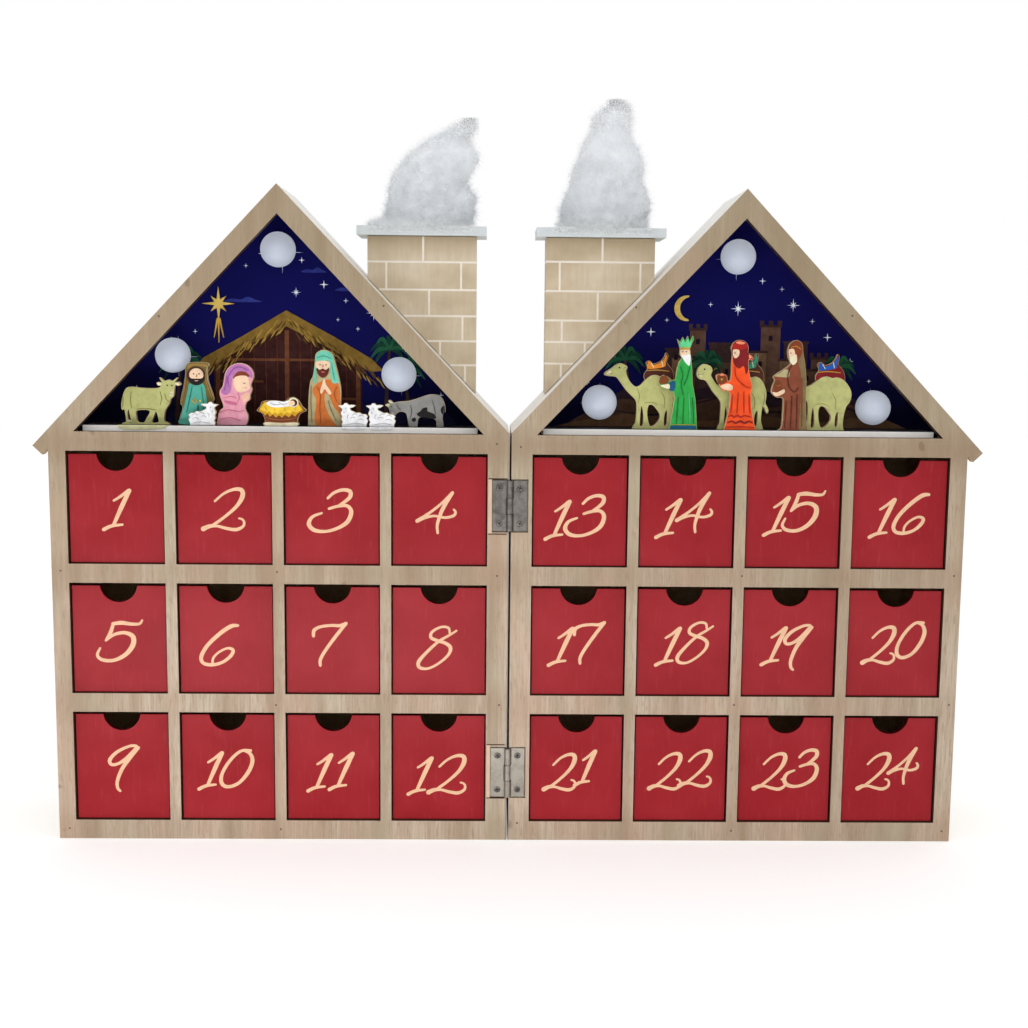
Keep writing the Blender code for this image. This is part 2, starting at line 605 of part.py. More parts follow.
def knuckle_ring():
    """A hinge barrel and the web that ties it to its plate, seen from above, in (u, depth)."""
    near = LEAF_INSET - HINGE_AXIS_DEPTH
    far = BARREL_RADIUS - LEAF_INSET
    start = math.asin(far / BARREL_RADIUS)
    end = 2 * math.pi + math.asin(near / BARREL_RADIUS)
    turns = [start + (end - start) * step / BARREL_STEPS for step in range(BARREL_STEPS + 1)]
    outline = [(BARREL_RADIUS * math.cos(turn), BARREL_RADIUS * math.sin(turn)) for turn in turns]
    web = BARREL_RADIUS + BARREL_CLEARANCE + OVERRUN
    return outline + [(web, near), (web, far)]


def hinge_leaves(halves):
    """Two butt hinges; the pin is riveted into the left leaf's end knuckles and runs in the right leaf."""
    barrel = knuckle_ring()
    axle = (0, 0, 0)
    for level, middle in hinge_middles().items():
        low = middle - HINGE_HEIGHT / 2
        high = middle + HINGE_HEIGHT / 2
        third = HINGE_HEIGHT / KNUCKLES
        joints = (low + third, high - third)
        for prefix, side in (("left_", LEFT), ("right_", RIGHT)):
            half = halves[side]
            name = prefix + level + "_hinge_leaf"
            start = BARREL_RADIUS + BARREL_CLEARANCE
            ring = rectangle(start, LEAF_WIDTH, -HINGE_AXIS_DEPTH, LEAF_THICKNESS - HINGE_AXIS_DEPTH)
            leaf = add_piece(name, slab(name, side, ring, low, high), "zinc", half, axle)
            if side == LEFT:
                stretches = [(low + LEAF_INSET, joints[0]), (joints[1], high - LEAF_INSET)]
            else:
                stretches = [(joints[0] + KNUCKLE_GAP, joints[1] - KNUCKLE_GAP)]
            for number, (start, end) in enumerate(stretches, 1):
                tool = name + "_knuckle_" + str(number)
                join(leaf, tool, rounded(slab(tool, side, barrel, start, end)), half, axle)
            if side == LEFT:
                tool = name + "_pin"
                ring = circle(0, 0, PIN_RADIUS, BARREL_STEPS)
                pin = rounded(slab(tool, side, ring, low + OVERRUN, high - OVERRUN))
                join(leaf, tool, pin, half, axle)
            else:
                tool = name + "_bore"
                ring = circle(0, 0, PIN_RADIUS + PIN_CLEARANCE, BARREL_STEPS)
                cut(leaf, tool, rounded(slab(tool, side, ring, low, high)), half, axle)
            screw_holes(leaf, name, side, half, (low + SCREW_INSET, high - SCREW_INSET))


def screw_holes(leaf, name, side, half, heights):
    """Countersunk holes, wider at the front."""
    across = side * (BARREL_RADIUS + LEAF_WIDTH) / 2
    for number, height in enumerate(heights, 1):
        bm = bmesh.new()
        rings = []
        for depth, radius in ((-OVERRUN, SCREW_HEAD_RADIUS), (0, SCREW_HEAD_RADIUS),
                              (LEAF_THICKNESS, SCREW_RADIUS), (LEAF_THICKNESS + OVERRUN, SCREW_RADIUS)):
            points = circle(across, height, radius, SCREW_STEPS)
            rings.append([bm.verts.new((x, depth - HINGE_AXIS_DEPTH, z)) for x, z in points])
        skin_rings(bm, rings)
        tool = name + "_screw_hole_" + str(number)
        cut(leaf, tool, rounded(to_mesh(bm, tool)), half, (0, 0, 0))


def figure_ring(side, outline, mirrored, middle, width, height):
    """A figure's outline in (u, z), its foot let into the scene board."""
    foot = SCENE_TOP - SCENE_BOARD_TOP / 2
    ring = []
    for across, up in outline:
        share = 1 - across if mirrored else across
        x = (middle - 1 / 2) * SCENE_BOARD_LENGTH + (share - 1 / 2) * width * SCENE_BOARD_LENGTH
        z = SCENE_TOP + up * height * ROOM_HEIGHT if up else foot
        ring.append((MIDDLE + side * x, z))
    return ring


def nativity_scene(half, prefix, side, figures):
    """The white scene board with its flat figures glued on in two rows."""
    start = MIDDLE - SCENE_BOARD_LENGTH / 2
    ring = rectangle(start, start + SCENE_BOARD_LENGTH, ATTIC_TOP + GAP, SCENE_TOP)
    mesh = plate(prefix + "nativity_scene", side, ring, BOARD_START, BACKDROP_DEPTH - GAP)
    board = add_piece(prefix + "nativity_scene", mesh, "figure_wood", half)
    for name, outline, mirrored, middle, width, height, row in figures:
        ring = figure_ring(side, outline, mirrored, middle, width, height)
        join(board, name, plate(name, side, ring, row, row + FIGURE_THICKNESS), half)


def globe_places(globes):
    """Middles of the globes in (u, z)."""
    return [(MIDDLE + across * SCENE_BOARD_LENGTH, SCENE_TOP + up * ROOM_HEIGHT) for across, up in globes]


def backdrop(half, prefix, side, globes):
    """The painted board behind the figures, with a hole for each globe's socket."""
    inner = HALF_START + INNER_WALL_THICKNESS + GAP
    outer = HALF_END - OUTER_WALL_THICKNESS - GAP
    outline = under_roof(ATTIC_TOP + GAP, inner, outer, GAP)
    back = BACKDROP_DEPTH + BACKDROP_THICKNESS
    mesh = plate(prefix + "backdrop_panel", side, outline, BACKDROP_DEPTH, back)
    panel = add_piece(prefix + "backdrop_panel", mesh, "night_blue", half)
    holes = [circle(u, z, SOCKET_RADIUS + GAP, SCREW_STEPS) for u, z in globe_places(globes)]
    name = prefix + "socket_holes"
    cut(panel, name, plates(name, side, holes, BACKDROP_DEPTH - OVERRUN, back + OVERRUN), half)


def rod(name, start, end, radius, steps):
    """A round rod between two points."""
    start = Vector(start)
    end = Vector(end)
    turn = (end - start).to_track_quat("Z", "Y")
    bm = bmesh.new()
    rings = []
    for point in (start, end):
        ring = circle(0, 0, radius, steps)
        rings.append([bm.verts.new(point + turn @ Vector((a, b, 0))) for a, b in ring])
    skin_rings(bm, rings)
    return rounded(to_mesh(bm, name))


def globe_mesh(name, middle):
    """One frosted globe, its poles up and down."""
    bm = bmesh.new()
    bmesh.ops.create_uvsphere(bm, u_segments=BARREL_STEPS, v_segments=SCREW_STEPS, radius=GLOBE_RADIUS)
    bmesh.ops.translate(bm, verts=bm.verts, vec=middle)
    return rounded(to_mesh(bm, name))


def light_set(half, prefix, side, globes):
    """Battery box, three globes in their sockets and the wires between them, as one soldered set."""
    left = MIDDLE - BATTERY_LENGTH / 2
    right = MIDDLE + BATTERY_LENGTH / 2
    top = BATTERY_LOW + BATTERY_HEIGHT
    ring = rectangle(left, right, BATTERY_LOW, top)
    lights = add_piece(
        prefix + "light_set", plate(prefix + "light_set", side, ring, BATTERY_FRONT, BATTERY_BACK),
        "frosted_plastic", half,
    )
    flange = rectangle(
        left - FLANGE_WIDTH, right + FLANGE_WIDTH, BATTERY_LOW - FLANGE_WIDTH, top + FLANGE_WIDTH
    )
    flange_back = BACK_START - GAP
    name = prefix + "battery_flange"
    join(lights, name, plate(name, side, flange, flange_back - FLANGE_THICKNESS, flange_back), half)
    name = prefix + "switch_slot"
    cut(lights, name, plate(name, side, switch_slot(side), BATTERY_BACK - SWITCH_DEPTH, CASE_DEPTH), half)
    tail = BACKDROP_DEPTH + BACKDROP_THICKNESS + SOCKET_TAIL
    for number, (u, z) in enumerate(globe_places(globes), 1):
        x = side * u
        name = prefix + "globe_" + str(number)
        join(lights, name, globe_mesh(name, (x, GLOBE_DEPTH, z)), half)
        name = prefix + "socket_" + str(number)
        socket = rod(name, (x, GLOBE_DEPTH, z), (x, tail, z), SOCKET_RADIUS, SCREW_STEPS)
        join(lights, name, socket, half)
        name = prefix + "wire_" + str(number)
        pull = (u - MIDDLE) / HALF_WIDTH
        landing = (side * (MIDDLE + pull * BATTERY_LENGTH), BATTERY_FRONT + OVERRUN, BATTERY_MIDDLE)
        start = (x, tail - SOCKET_TAIL / 2, z)
        join(lights, name, rod(name, start, landing, WIRE_RADIUS, SCREW_STEPS), half)


def switch_slot(side):
    """Outline of the slot that the switch slides in, seen from the front."""
    start = MIDDLE + side * SWITCH_PLACE - SWITCH_LENGTH / 2
    room = SWITCH_TRAVEL if side == RIGHT else 0
    end = start + SWITCH_LENGTH + room
    start -= SWITCH_TRAVEL - room
    low = BATTERY_MIDDLE - SWITCH_HEIGHT / 2
    return rectangle(start - GAP, end + GAP, low - GAP, low + SWITCH_HEIGHT + GAP)


def light_switch(half, prefix, side):
    """The slider of the battery box's switch; it moves along X."""
    reach = SWITCH_LENGTH / 2
    rise = SWITCH_HEIGHT / 2
    depth = SWITCH_DEPTH - GAP + SWITCH_PROUD
    name = prefix + "light_switch"
    mesh = plate(name, side, rectangle(-reach, reach, -rise, rise), 0, depth)
    start = BATTERY_BACK - SWITCH_DEPTH + GAP - HINGE_AXIS_DEPTH
    place = (side * (MIDDLE + side * SWITCH_PLACE), start, BATTERY_MIDDLE)
    add_piece(name, mesh, "black_plastic", half, place)


def chimney(half, prefix, side):
    """A wooden stack on the inner slope, a cap over it, and a socket for the smoke."""
    inner = CHIMNEY_INSET
    outer = CHIMNEY_INSET + CHIMNEY_WIDTH
    lift = GAP * ACROSS
    outline = (
        (inner, roof_top(inner) + lift), (outer, roof_top(outer) + lift), (outer, CHIMNEY_TOP),
        (inner, CHIMNEY_TOP),
    )
    name = prefix + "chimney_stack"
    stack = add_piece(name, plate(name, side, outline, CHIMNEY_FRONT, CHIMNEY_BACK), "chimney_wood", half)
    socket = circle(CHIMNEY_MIDDLE, CHIMNEY_MIDDLE_DEPTH, SMOKE_SOCKET_RADIUS, SMOKE_STEPS)
    name = prefix + "smoke_socket"
    low = CHIMNEY_TOP - SMOKE_SOCKET_DEPTH
    cut(stack, name, rounded(slab(name, side, socket, low, CHIMNEY_TOP + OVERRUN)), half)
    ring = rectangle(
        inner - CAP_OVERHANG, outer + CAP_OVERHANG, CHIMNEY_FRONT - CAP_OVERHANG, CHIMNEY_BACK + CAP_OVERHANG
    )
    name = prefix + "chimney_cap"
    cap = add_piece(name, slab(name, side, ring, CHIMNEY_TOP + GAP, CAP_TOP), "white_paint", half)
    name = prefix + "smoke_hole"
    cut(cap, name, rounded(slab(name, side, socket, CHIMNEY_TOP, CAP_TOP + OVERRUN)), half)


def smoke(half, prefix, side, profile, height):
    """A tuft of white fibre, its stem pushed through the cap into the stack."""
    bm = bmesh.new()
    rings = []
    stem = SMOKE_SOCKET_RADIUS - SMOKE_STEM_GAP
    base = CAP_TOP + GAP
    for level in (CHIMNEY_TOP - SMOKE_SOCKET_DEPTH + GAP, base):
        points = circle(CHIMNEY_MIDDLE, CHIMNEY_MIDDLE_DEPTH, stem, SMOKE_STEPS)
        rings.append([bm.verts.new((side * u, depth, level)) for u, depth in points])
    for number, (up, shift, spread) in enumerate(profile):
        middle = CHIMNEY_MIDDLE + shift * CHIMNEY_WIDTH
        reach = spread * CHIMNEY_WIDTH
        ring = []
        for u, depth in circle(0, 0, reach, SMOKE_STEPS):
            lobe = 1 + SMOKE_LOBE_SHARE * math.cos(SMOKE_LOBES * math.atan2(depth, u) + number)
            x = side * (middle + u * lobe)
            y = CHIMNEY_MIDDLE_DEPTH + depth * lobe * SMOKE_DEPTH_SHARE
            ring.append(bm.verts.new((x, y, base + up * height)))
        rings.append(ring)
    skin_rings(bm, rings)
    name = prefix + "chimney_smoke"
    add_piece(name, rounded(to_mesh(bm, name)), "white_fibre", half)


def main():
    for item in list(bpy.data.objects):
        bpy.data.objects.remove(item, do_unlink=True)
    halves = {LEFT: add_half("left_half"), RIGHT: add_half("right_half")}
    box = drawer_mesh()
    for side, prefix, first, figures, globes, profile, height in (
        (LEFT, "left_", 1, LEFT_FIGURES_SHARES, LEFT_GLOBES_SHARES, LEFT_SMOKE_SHARES, LEFT_SMOKE_HEIGHT),
        (RIGHT, "right_", 1 + COLUMNS * ROWS, RIGHT_FIGURES_SHARES, RIGHT_GLOBES_SHARES, RIGHT_SMOKE_SHARES,
         RIGHT_SMOKE_HEIGHT),
    ):
        half = halves[side]
        face_frame(half, prefix, side)
        case_boards(half, prefix, side)
        drawer_rack(half, prefix, side)
        roof_boards(half, prefix, side)
        drawers(half, side, first, box)
        nativity_scene(half, prefix, side, figures)
        backdrop(half, prefix, side, globes)
        light_set(half, prefix, side, globes)
        light_switch(half, prefix, side)
        chimney(half, prefix, side)
        smoke(half, prefix, side, profile, height)
    hinge_leaves(halves)


main()
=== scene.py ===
"""Looks of the folding advent calendar: finishes, numbered drawers, painted figures, lights and smoke.

Lengths are millimetres here and become metres in at(). x is zero on the fold line, z is up, and depth is
measured back from the front plane of the face frames.
"""

import math
import random

import bmesh
import bpy
from mathutils import Matrix, Vector, noise
from mathutils.geometry import tessellate_polygon


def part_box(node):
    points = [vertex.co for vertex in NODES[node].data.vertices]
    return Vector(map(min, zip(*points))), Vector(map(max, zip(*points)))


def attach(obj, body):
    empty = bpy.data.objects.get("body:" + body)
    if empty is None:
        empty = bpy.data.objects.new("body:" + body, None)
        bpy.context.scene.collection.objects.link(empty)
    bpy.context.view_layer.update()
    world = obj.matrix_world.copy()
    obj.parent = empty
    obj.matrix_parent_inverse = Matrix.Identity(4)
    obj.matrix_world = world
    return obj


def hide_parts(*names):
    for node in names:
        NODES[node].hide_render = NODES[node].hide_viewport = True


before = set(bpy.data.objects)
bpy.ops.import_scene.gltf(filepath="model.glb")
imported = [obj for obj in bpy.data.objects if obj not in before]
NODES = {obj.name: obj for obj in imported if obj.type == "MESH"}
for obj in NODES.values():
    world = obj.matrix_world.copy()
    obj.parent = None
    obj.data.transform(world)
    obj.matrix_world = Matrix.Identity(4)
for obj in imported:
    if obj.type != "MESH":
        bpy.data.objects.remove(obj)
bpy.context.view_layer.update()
MM = 0.001


def node_box(name):
    """Lowest and highest corner of a CAD node, in millimetres."""
    low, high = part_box(name)
    return low / MM, high / MM


# The front plane and the sizes that are read off the frame
FRONT_Y = node_box("left_face_frame")[0].y
SIDES = {"left": -1, "right": 1}
CASE_DEPTH = node_box("left_outer_roof_board")[1].y - FRONT_Y
FRAME_THICKNESS = node_box("left_face_frame")[1].y - FRONT_Y
CASE_SIDE = node_box("right_outer_wall")[1].x
GABLE_MIDDLE = (node_box("right_nativity_scene")[0].x + node_box("right_nativity_scene")[1].x) / 2
PEAK = node_box("left_face_frame")[1].z
ROOF_SLOPE = math.tan(math.radians(46.5))
BACKDROP_FRONT = node_box("left_backdrop_panel")[0].y - FRONT_Y
BACKDROP_BACK = node_box("left_backdrop_panel")[1].y - FRONT_Y
ATTIC_TOP = node_box("left_attic_floor")[1].z
CAP_TOP = node_box("left_chimney_cap")[1].z
SMOKE_DEPTH = (node_box("left_chimney_cap")[0].y + node_box("left_chimney_cap")[1].y) / 2 - FRONT_Y

# Repeated from the part's source
SCENE_TOP = 208.9
SCENE_HALF = 97.1
FIGURE_THICKNESS = 2.8
FRONT_ROW = 7.2
BACK_ROW = 12.0
GLOBE_RADIUS = 8.75
DRAWER_FRONT = 3.5
DRAWER_WALL = 2.5
NOTCH_RADIUS = 9.2
NOTCH_DEPTH = 8.3
BATTERY_HALF = 30.0
BATTERY_LOW = 216.0
BATTERY_HEIGHT = 32.0
BATTERY_FRONT = CASE_DEPTH - 21.0
TOP_COURSE = 13.0

# Half the width of the painted shadow along the fold, where the gap between the two houses lies in shade
SEAM_SHADE_HALF = 0.72
# Paint layers: thickness of one coat, how far one lies over the next, and the least step between two bodies
COAT = 0.05
COAT_STEP = 0.06
HAIR = 0.0015
STROKE_RISE = 0.012
# Air left between two pieces
GAP = 0.3
# A noise that isn't stretched
EVEN = (1, 1, 1)


def at(x, depth, z):
    """A point in metres in the row frame."""
    return Vector((x * MM, (FRONT_Y + depth) * MM, z * MM))


def tone(red, green, blue):
    """Linear colour of an 8-bit sRGB colour."""
    def linear(value):
        share = value / 255
        return share / 12.92 if share <= 0.04045 else ((share + 0.055) / 1.055) ** 2.4
    return (linear(red), linear(green), linear(blue), 1)


class Nodes:
    """A node tree under construction."""

    def __init__(self, tree):
        self.tree = tree

    def plug(self, socket, value):
        if isinstance(value, bpy.types.NodeSocket):
            self.tree.links.new(value, socket)
        else:
            socket.default_value = value

    def node(self, kind, settings, inputs):
        made = self.tree.nodes.new(kind)
        for key, value in settings.items():
            setattr(made, key, value)
        for key, value in inputs.items():
            self.plug(made.inputs[key], value)
        return made

    def math(self, operation, first, second=0.0, third=0.0):
        made = self.node("ShaderNodeMath", {"operation": operation}, {})
        for socket, value in zip(made.inputs, (first, second, third)):
            self.plug(socket, value)
        return made.outputs[0]

    def seen(self):
        """1 for what the camera sees, straight, in a mirror or through glass, and 0 for other rays."""
        path = self.node("ShaderNodeLightPath", {}, {})
        seen = self.math("MAXIMUM", path.outputs["Is Camera Ray"], path.outputs["Is Glossy Ray"])
        return self.math("MAXIMUM", seen, path.outputs["Is Transmission Ray"])


class Graph(Nodes):
    """A node material under construction."""

    def __init__(self, name, roughness=0.5, metallic=0.0):
        self.material = bpy.data.materials.new(name)
        self.material.use_nodes = True
        super().__init__(self.material.node_tree)
        self.shader = self.tree.nodes["Principled BSDF"]
        self.set("Roughness", roughness)
        self.set("Metallic", metallic)
        self.coords = self.tree.nodes.new("ShaderNodeTexCoord")

    def set(self, name, value):
        self.plug(self.shader.inputs[name], value)

    def noise(self, stretch, scale, detail=4.0, roughness=0.55, distortion=0.0):
        """Noise over the object's metres; a small stretch along an axis draws it out that way."""
        place = {"Vector": self.coords.outputs["Object"], "Scale": stretch}
        vector = self.node("ShaderNodeMapping", {"vector_type": "POINT"}, place).outputs[0]
        inputs = {"Vector": vector, "Scale": scale, "Detail": detail, "Roughness": roughness,
                  "Distortion": distortion}
        return self.node("ShaderNodeTexNoise", {}, inputs).outputs[0]

    def ramp(self, value, stops):
        made = self.node("ShaderNodeValToRGB", {}, {"Fac": value})
        elements = made.color_ramp.elements
        while len(elements) < len(stops):
            elements.new(0.5)
        for element, (place, colour) in zip(elements, stops):
            element.position = place
            element.color = colour
        return made.outputs[0]

    def grey(self, value, stops):
        return self.ramp(value, [(place, (shade, shade, shade, 1)) for place, shade in stops])

    def mix(self, share, first, second):
        made = self.node("ShaderNodeMix", {"data_type": "RGBA"}, {})
        self.plug(made.inputs[0], share)
        self.plug(made.inputs[6], first)
        self.plug(made.inputs[7], second)
        return made.outputs[2]

    def axes(self, output="Object"):
        made = self.node("ShaderNodeSeparateXYZ", {}, {"Vector": self.coords.outputs[output]})
        return made.outputs[0], made.outputs[1], made.outputs[2]

    def facing(self, axis, low=0.75, high=0.92):
        """1 where the surface faces along an axis, 0 on the other sides."""
        part = self.math("ABSOLUTE", self.axes("Normal")[axis])
        return self.grey(part, [(low, 0), (high, 1)])

    def bump(self, height, strength, distance):
        inputs = {"Height": height, "Strength": strength, "Distance": distance * MM}
        self.set("Normal", self.node("ShaderNodeBump", {}, inputs).outputs[0])

    def scatter(self, weight, radius):
        """Light that goes into the surface and spreads."""
        self.set("Subsurface Weight", weight)
        self.set("Subsurface Radius", radius)
        self.set("Subsurface Scale", 1.0)


def wood_grain(graph, tones, across, broad=60.0):
    """Streaked wood colour; across scales the coordinates, least along the grain."""
    fine = 900.0
    streaks = graph.noise(across, fine, 3.0, 0.6)
    bands = graph.noise(across, broad, 3.0, 0.5, 0.6)
    pores = graph.noise((across[0] * 2, across[1] * 2, across[2]), fine * 2, 2.0)
    dark, middle, light = tones
    base = graph.ramp(bands, [(0.30, dark), (0.48, middle), (0.70, light)])
    lined = graph.mix(graph.grey(streaks, [(0.35, 0.55), (0.62, 0)]), base, dark)
    pitted = graph.mix(graph.grey(pores, [(0.34, 0.45), (0.42, 0)]), lined, dark)
    return pitted, streaks


def ply_edge(graph, light, dark):
    """Stripes of glued layers, stacked along the depth."""
    layer = 1.25 * MM
    wave = graph.math("SINE", graph.math("MULTIPLY", graph.axes()[1], math.pi / layer))
    grain = graph.noise((1, 6, 1), 500.0, 2.0)
    stripes = graph.math("ADD", wave, graph.math("MULTIPLY", grain, 0.8))
    return graph.ramp(graph.math("MULTIPLY_ADD", stripes, 0.4, 0.5), [(0.30, dark), (0.62, light)])


def rails():
    """Stops over the frame's height, 0 to 1, that say how much painted shade darkens each cross rail."""
    rows = [node_box("drawer_" + number) for number in ("09", "05", "01")]
    edges = [-1] + [corner.z for row in rows for corner in row] + [ATTIC_TOP]
    blur = 9
    overlap = 2
    stops = []
    for low, high, weight in zip(edges[::2], edges[1::2], (0.30, 0.22, 0.34, 0.48)):
        band = ((low - blur, 0), (low + overlap, weight), (high - overlap, weight), (high + blur, 0))
        stops += [(max(height, 0) / PEAK, share) for height, share in band]
    # The painted shade on the lowest rail starts at the very bottom
    return stops[1:]


def face_frame_wood():
    """Finely streaked plywood with painted shade up top, on each cross rail and at the fold; roof edges
    white, sawn edges dark.
    """
    graph = Graph("printed_plywood", 0.6)
    tones = (tone(156, 137, 115), tone(185, 167, 147), tone(203, 188, 169))
    grain, streaks = wood_grain(graph, tones, (1, 1, 0.05), 75.0)
    flecks = graph.noise((1, 1, 0.11), 1300.0, 2.0, 0.5)
    lined = graph.mix(graph.grey(flecks, [(0.34, 0.4), (0.43, 0)]), grain, tone(138, 110, 86))
    patches = graph.noise((1, 1, 0.35), 38.0, 2.0, 0.5)
    warm = graph.mix(graph.grey(patches, [(0.50, 0), (0.70, 0.45)]), lined, tone(194, 160, 138))
    cool = graph.mix(graph.grey(patches, [(0.30, 0.5), (0.45, 0)]), warm, tone(184, 177, 152))
    knots = graph.noise((1, 1, 0.7), 95.0, 1.0)
    marked = graph.mix(graph.grey(knots, [(0.745, 0), (0.79, 0.8)]), cool, tone(96, 64, 44))
    axes = graph.axes()
    height = graph.math("MULTIPLY", axes[2], 1 / (PEAK * MM))
    # Painted shade: the wood darkens towards the top and on each cross rail, where less light falls
    upper = graph.grey(height, [(0.30, 0), (0.62, 0.42), (0.82, 0.62)])
    toned = graph.mix(upper, marked, tone(152, 134, 104))
    toned = graph.mix(graph.grey(height, rails()), toned, tone(142, 116, 92))
    edge = ply_edge(graph, tone(206, 184, 152), tone(158, 126, 94))
    away = graph.math("ABSOLUTE", axes[0])
    # Painted shadow: a dark band along the fold stands for the shade in the gap between the halves
    toned = graph.mix(graph.math("LESS_THAN", away, SEAM_SHADE_HALF * MM), toned, tone(70, 52, 36))
    edge_margin = 2 * MM
    inside = graph.math("MULTIPLY", graph.math("LESS_THAN", away, CASE_SIDE * MM - edge_margin),
                        graph.math("GREATER_THAN", axes[2], edge_margin))
    cut = graph.mix(inside, edge, tone(66, 44, 28))
    sides = graph.mix(graph.facing(1, 0.5, 0.8), cut, toned)
    normal = graph.axes("Normal")
    slope = math.atan(ROOF_SLOPE)
    upward = graph.math("COMPARE", normal[2], math.cos(slope), 0.2)
    sloping = graph.math("COMPARE", graph.math("ABSOLUTE", normal[0]), math.sin(slope), 0.2)
    graph.set("Base Color", graph.mix(graph.math("MULTIPLY", upward, sloping), sides, tone(250, 246, 240)))
    graph.set("Specular IOR Level", 0.25)
    graph.bump(streaks, 0.12, 0.12)
    return graph.material


def board_paint():
    """White on the scene board's front; its top is painted dark for the shade behind the figures."""
    graph = Graph("board_white", 0.5)
    cloud = graph.noise(EVEN, 60.0, 3.0)
    white = graph.ramp(cloud, [(0.35, tone(246, 242, 236)), (0.6, tone(255, 252, 247))])
    # Painted shade: the board's top is dark where it lies in shade behind the figures
    upward = graph.math("GREATER_THAN", graph.axes("Normal")[2], 0.9)
    graph.set("Base Color", graph.mix(upward, white, tone(34, 30, 34)))
    graph.set("Specular IOR Level", 0.2)
    graph.bump(cloud, 0.1, 0.1)
    return graph.material


def plain_wood(name, tones, across):
    graph = Graph(name, 0.62)
    grain, streaks = wood_grain(graph, tones, across)
    graph.set("Base Color", grain)
    graph.bump(streaks, 0.2, 0.12)
    return graph.material


def painted(name, colour, roughness, mottle, grain=0.12, gloss=0.3):
    """Brushed or printed paint: slightly uneven, with a trace of the wood under it."""
    graph = Graph(name, roughness)
    cloud = graph.noise(EVEN, 220.0, 4.0, 0.6)
    deep = tuple(part * (1 - mottle * 1.6) for part in colour[:3]) + (1,)
    pale = tuple(min(1, part * (1 + mottle) + mottle * 0.03) for part in colour[:3]) + (1,)
    graph.set("Base Color", graph.ramp(cloud, [(0.33, deep), (0.5, colour), (0.68, pale)]))
    graph.set("Specular IOR Level", gloss)
    fibre = graph.noise((1, 1, 0.12), 900.0, 3.0)
    graph.bump(fibre, grain, 0.08)
    return graph.material


def drawer_red():
    graph = Graph("drawer_red", 0.3)
    fibre = graph.noise((1, 1, 0.10), 650.0, 4.0, 0.6)
    cloud = graph.noise(EVEN, 30.0, 3.0, 0.55)
    dark, middle, light = (0.268, 0.006, 0.011, 1), (0.300, 0.010, 0.016, 1), (0.330, 0.015, 0.022, 1)
    red = graph.ramp(cloud, [(0.30, dark), (0.50, middle), (0.72, light)])
    # Painted sheen: pale pink flecks along the grain
    sheen_flecks = graph.mix(graph.grey(fibre, [(0.56, 0), (0.78, 0.3)]), red, tone(178, 70, 78))
    # Painted shade: the front's sides and its notch are near black, for the shade in the gaps round the
    # drawer
    graph.set("Base Color", graph.mix(graph.facing(1, 0.5, 0.8), (0.060, 0.003, 0.004, 1), sheen_flecks))
    graph.set("Specular IOR Level", 0.15)
    graph.set("Roughness", graph.math("MULTIPLY_ADD", fibre, 0.25, 0.25))
    graph.bump(fibre, 0.28, 0.10)
    return graph.material


def brick_print():
    """Bricks printed on wood: beige, streaked upright, in the shade of the cap at the top."""
    graph = Graph("brick_print", 0.6)
    grain = graph.noise((1, 1, 0.10), 700.0, 4.0, 0.6)
    cloud = graph.noise((1, 1, 1.2), 42.0, 3.0)
    dark, middle, light = tone(184, 167, 140), tone(200, 184, 157), tone(210, 196, 174)
    stone = graph.ramp(cloud, [(0.32, dark), (0.5, middle), (0.68, light)])
    streaked = graph.mix(graph.grey(grain, [(0.34, 0.3), (0.56, 0)]), stone, tone(184, 162, 134))
    height = graph.math("MULTIPLY", graph.axes()[2], 1 / MM)
    shade = graph.math("SUBTRACT", height, node_box("left_chimney_stack")[1].z - TOP_COURSE)
    under = graph.grey(graph.math("MULTIPLY", shade, 1 / TOP_COURSE), [(0.1, 0), (0.95, 0.75)])
    shaded = graph.mix(under, streaked, tone(168, 148, 118))
    graph.set("Base Color", graph.mix(graph.facing(2), shaded, tone(198, 178, 146)))
    graph.set("Specular IOR Level", 0.25)
    graph.bump(grain, 0.2, 0.12)
    return graph.material


def night_sky():
    """Deep blue with painted shade that falls to near black low down and towards the roof."""
    graph = Graph("night_sky", 0.7)
    axes = graph.axes()
    across = graph.math("SUBTRACT", graph.math("ABSOLUTE", axes[0]), GABLE_MIDDLE * MM)
    sideways = graph.math("MULTIPLY", graph.math("ABSOLUTE", across), 1 / (100 * MM))
    up = graph.math("MULTIPLY", graph.math("SUBTRACT", axes[2], SCENE_TOP * MM), 1 / (105 * MM))
    centre = graph.math("ABSOLUTE", graph.math("SUBTRACT", up, 0.48))
    # Painted shade: the blue falls towards near black away from the middle, low down and towards the roof
    fall = graph.math("ADD", graph.math("MULTIPLY", sideways, 0.75), graph.math("MULTIPLY", centre, 0.8))
    cloud = graph.noise((1, 1, 1.6), 45.0, 4.0, 0.6)
    mixed = graph.math("ADD", fall, graph.math("MULTIPLY", graph.math("SUBTRACT", cloud, 0.5), 0.35))
    sky = graph.ramp(mixed, [
        (0.10, tone(15, 14, 80)), (0.38, tone(15, 14, 78)), (0.62, tone(16, 15, 75)), (0.95, tone(7, 7, 38)),
    ])
    graph.set("Base Color", sky)
    graph.set("Specular IOR Level", 0.04)
    fibre = graph.noise((1, 1, 0.15), 800.0, 3.0)
    graph.bump(fibre, 0.12, 0.08)
    return graph.material


def zinc(name, colour, roughness, spots):
    graph = Graph(name, roughness, 1.0)
    cloud = graph.noise(EVEN, 260.0, 5.0, 0.65)
    scratches = graph.noise((1, 1, 0.06), 1800.0, 3.0, 0.6)
    dull = tuple(part * (1 - spots) for part in colour[:3]) + (1,)
    graph.set("Base Color", graph.ramp(cloud, [(0.34, dull), (0.56, colour)]))
    graph.set("Roughness", graph.math("MULTIPLY_ADD", scratches, 0.25, roughness - 0.1))
    graph.bump(scratches, 0.15, 0.05)
    return graph.material


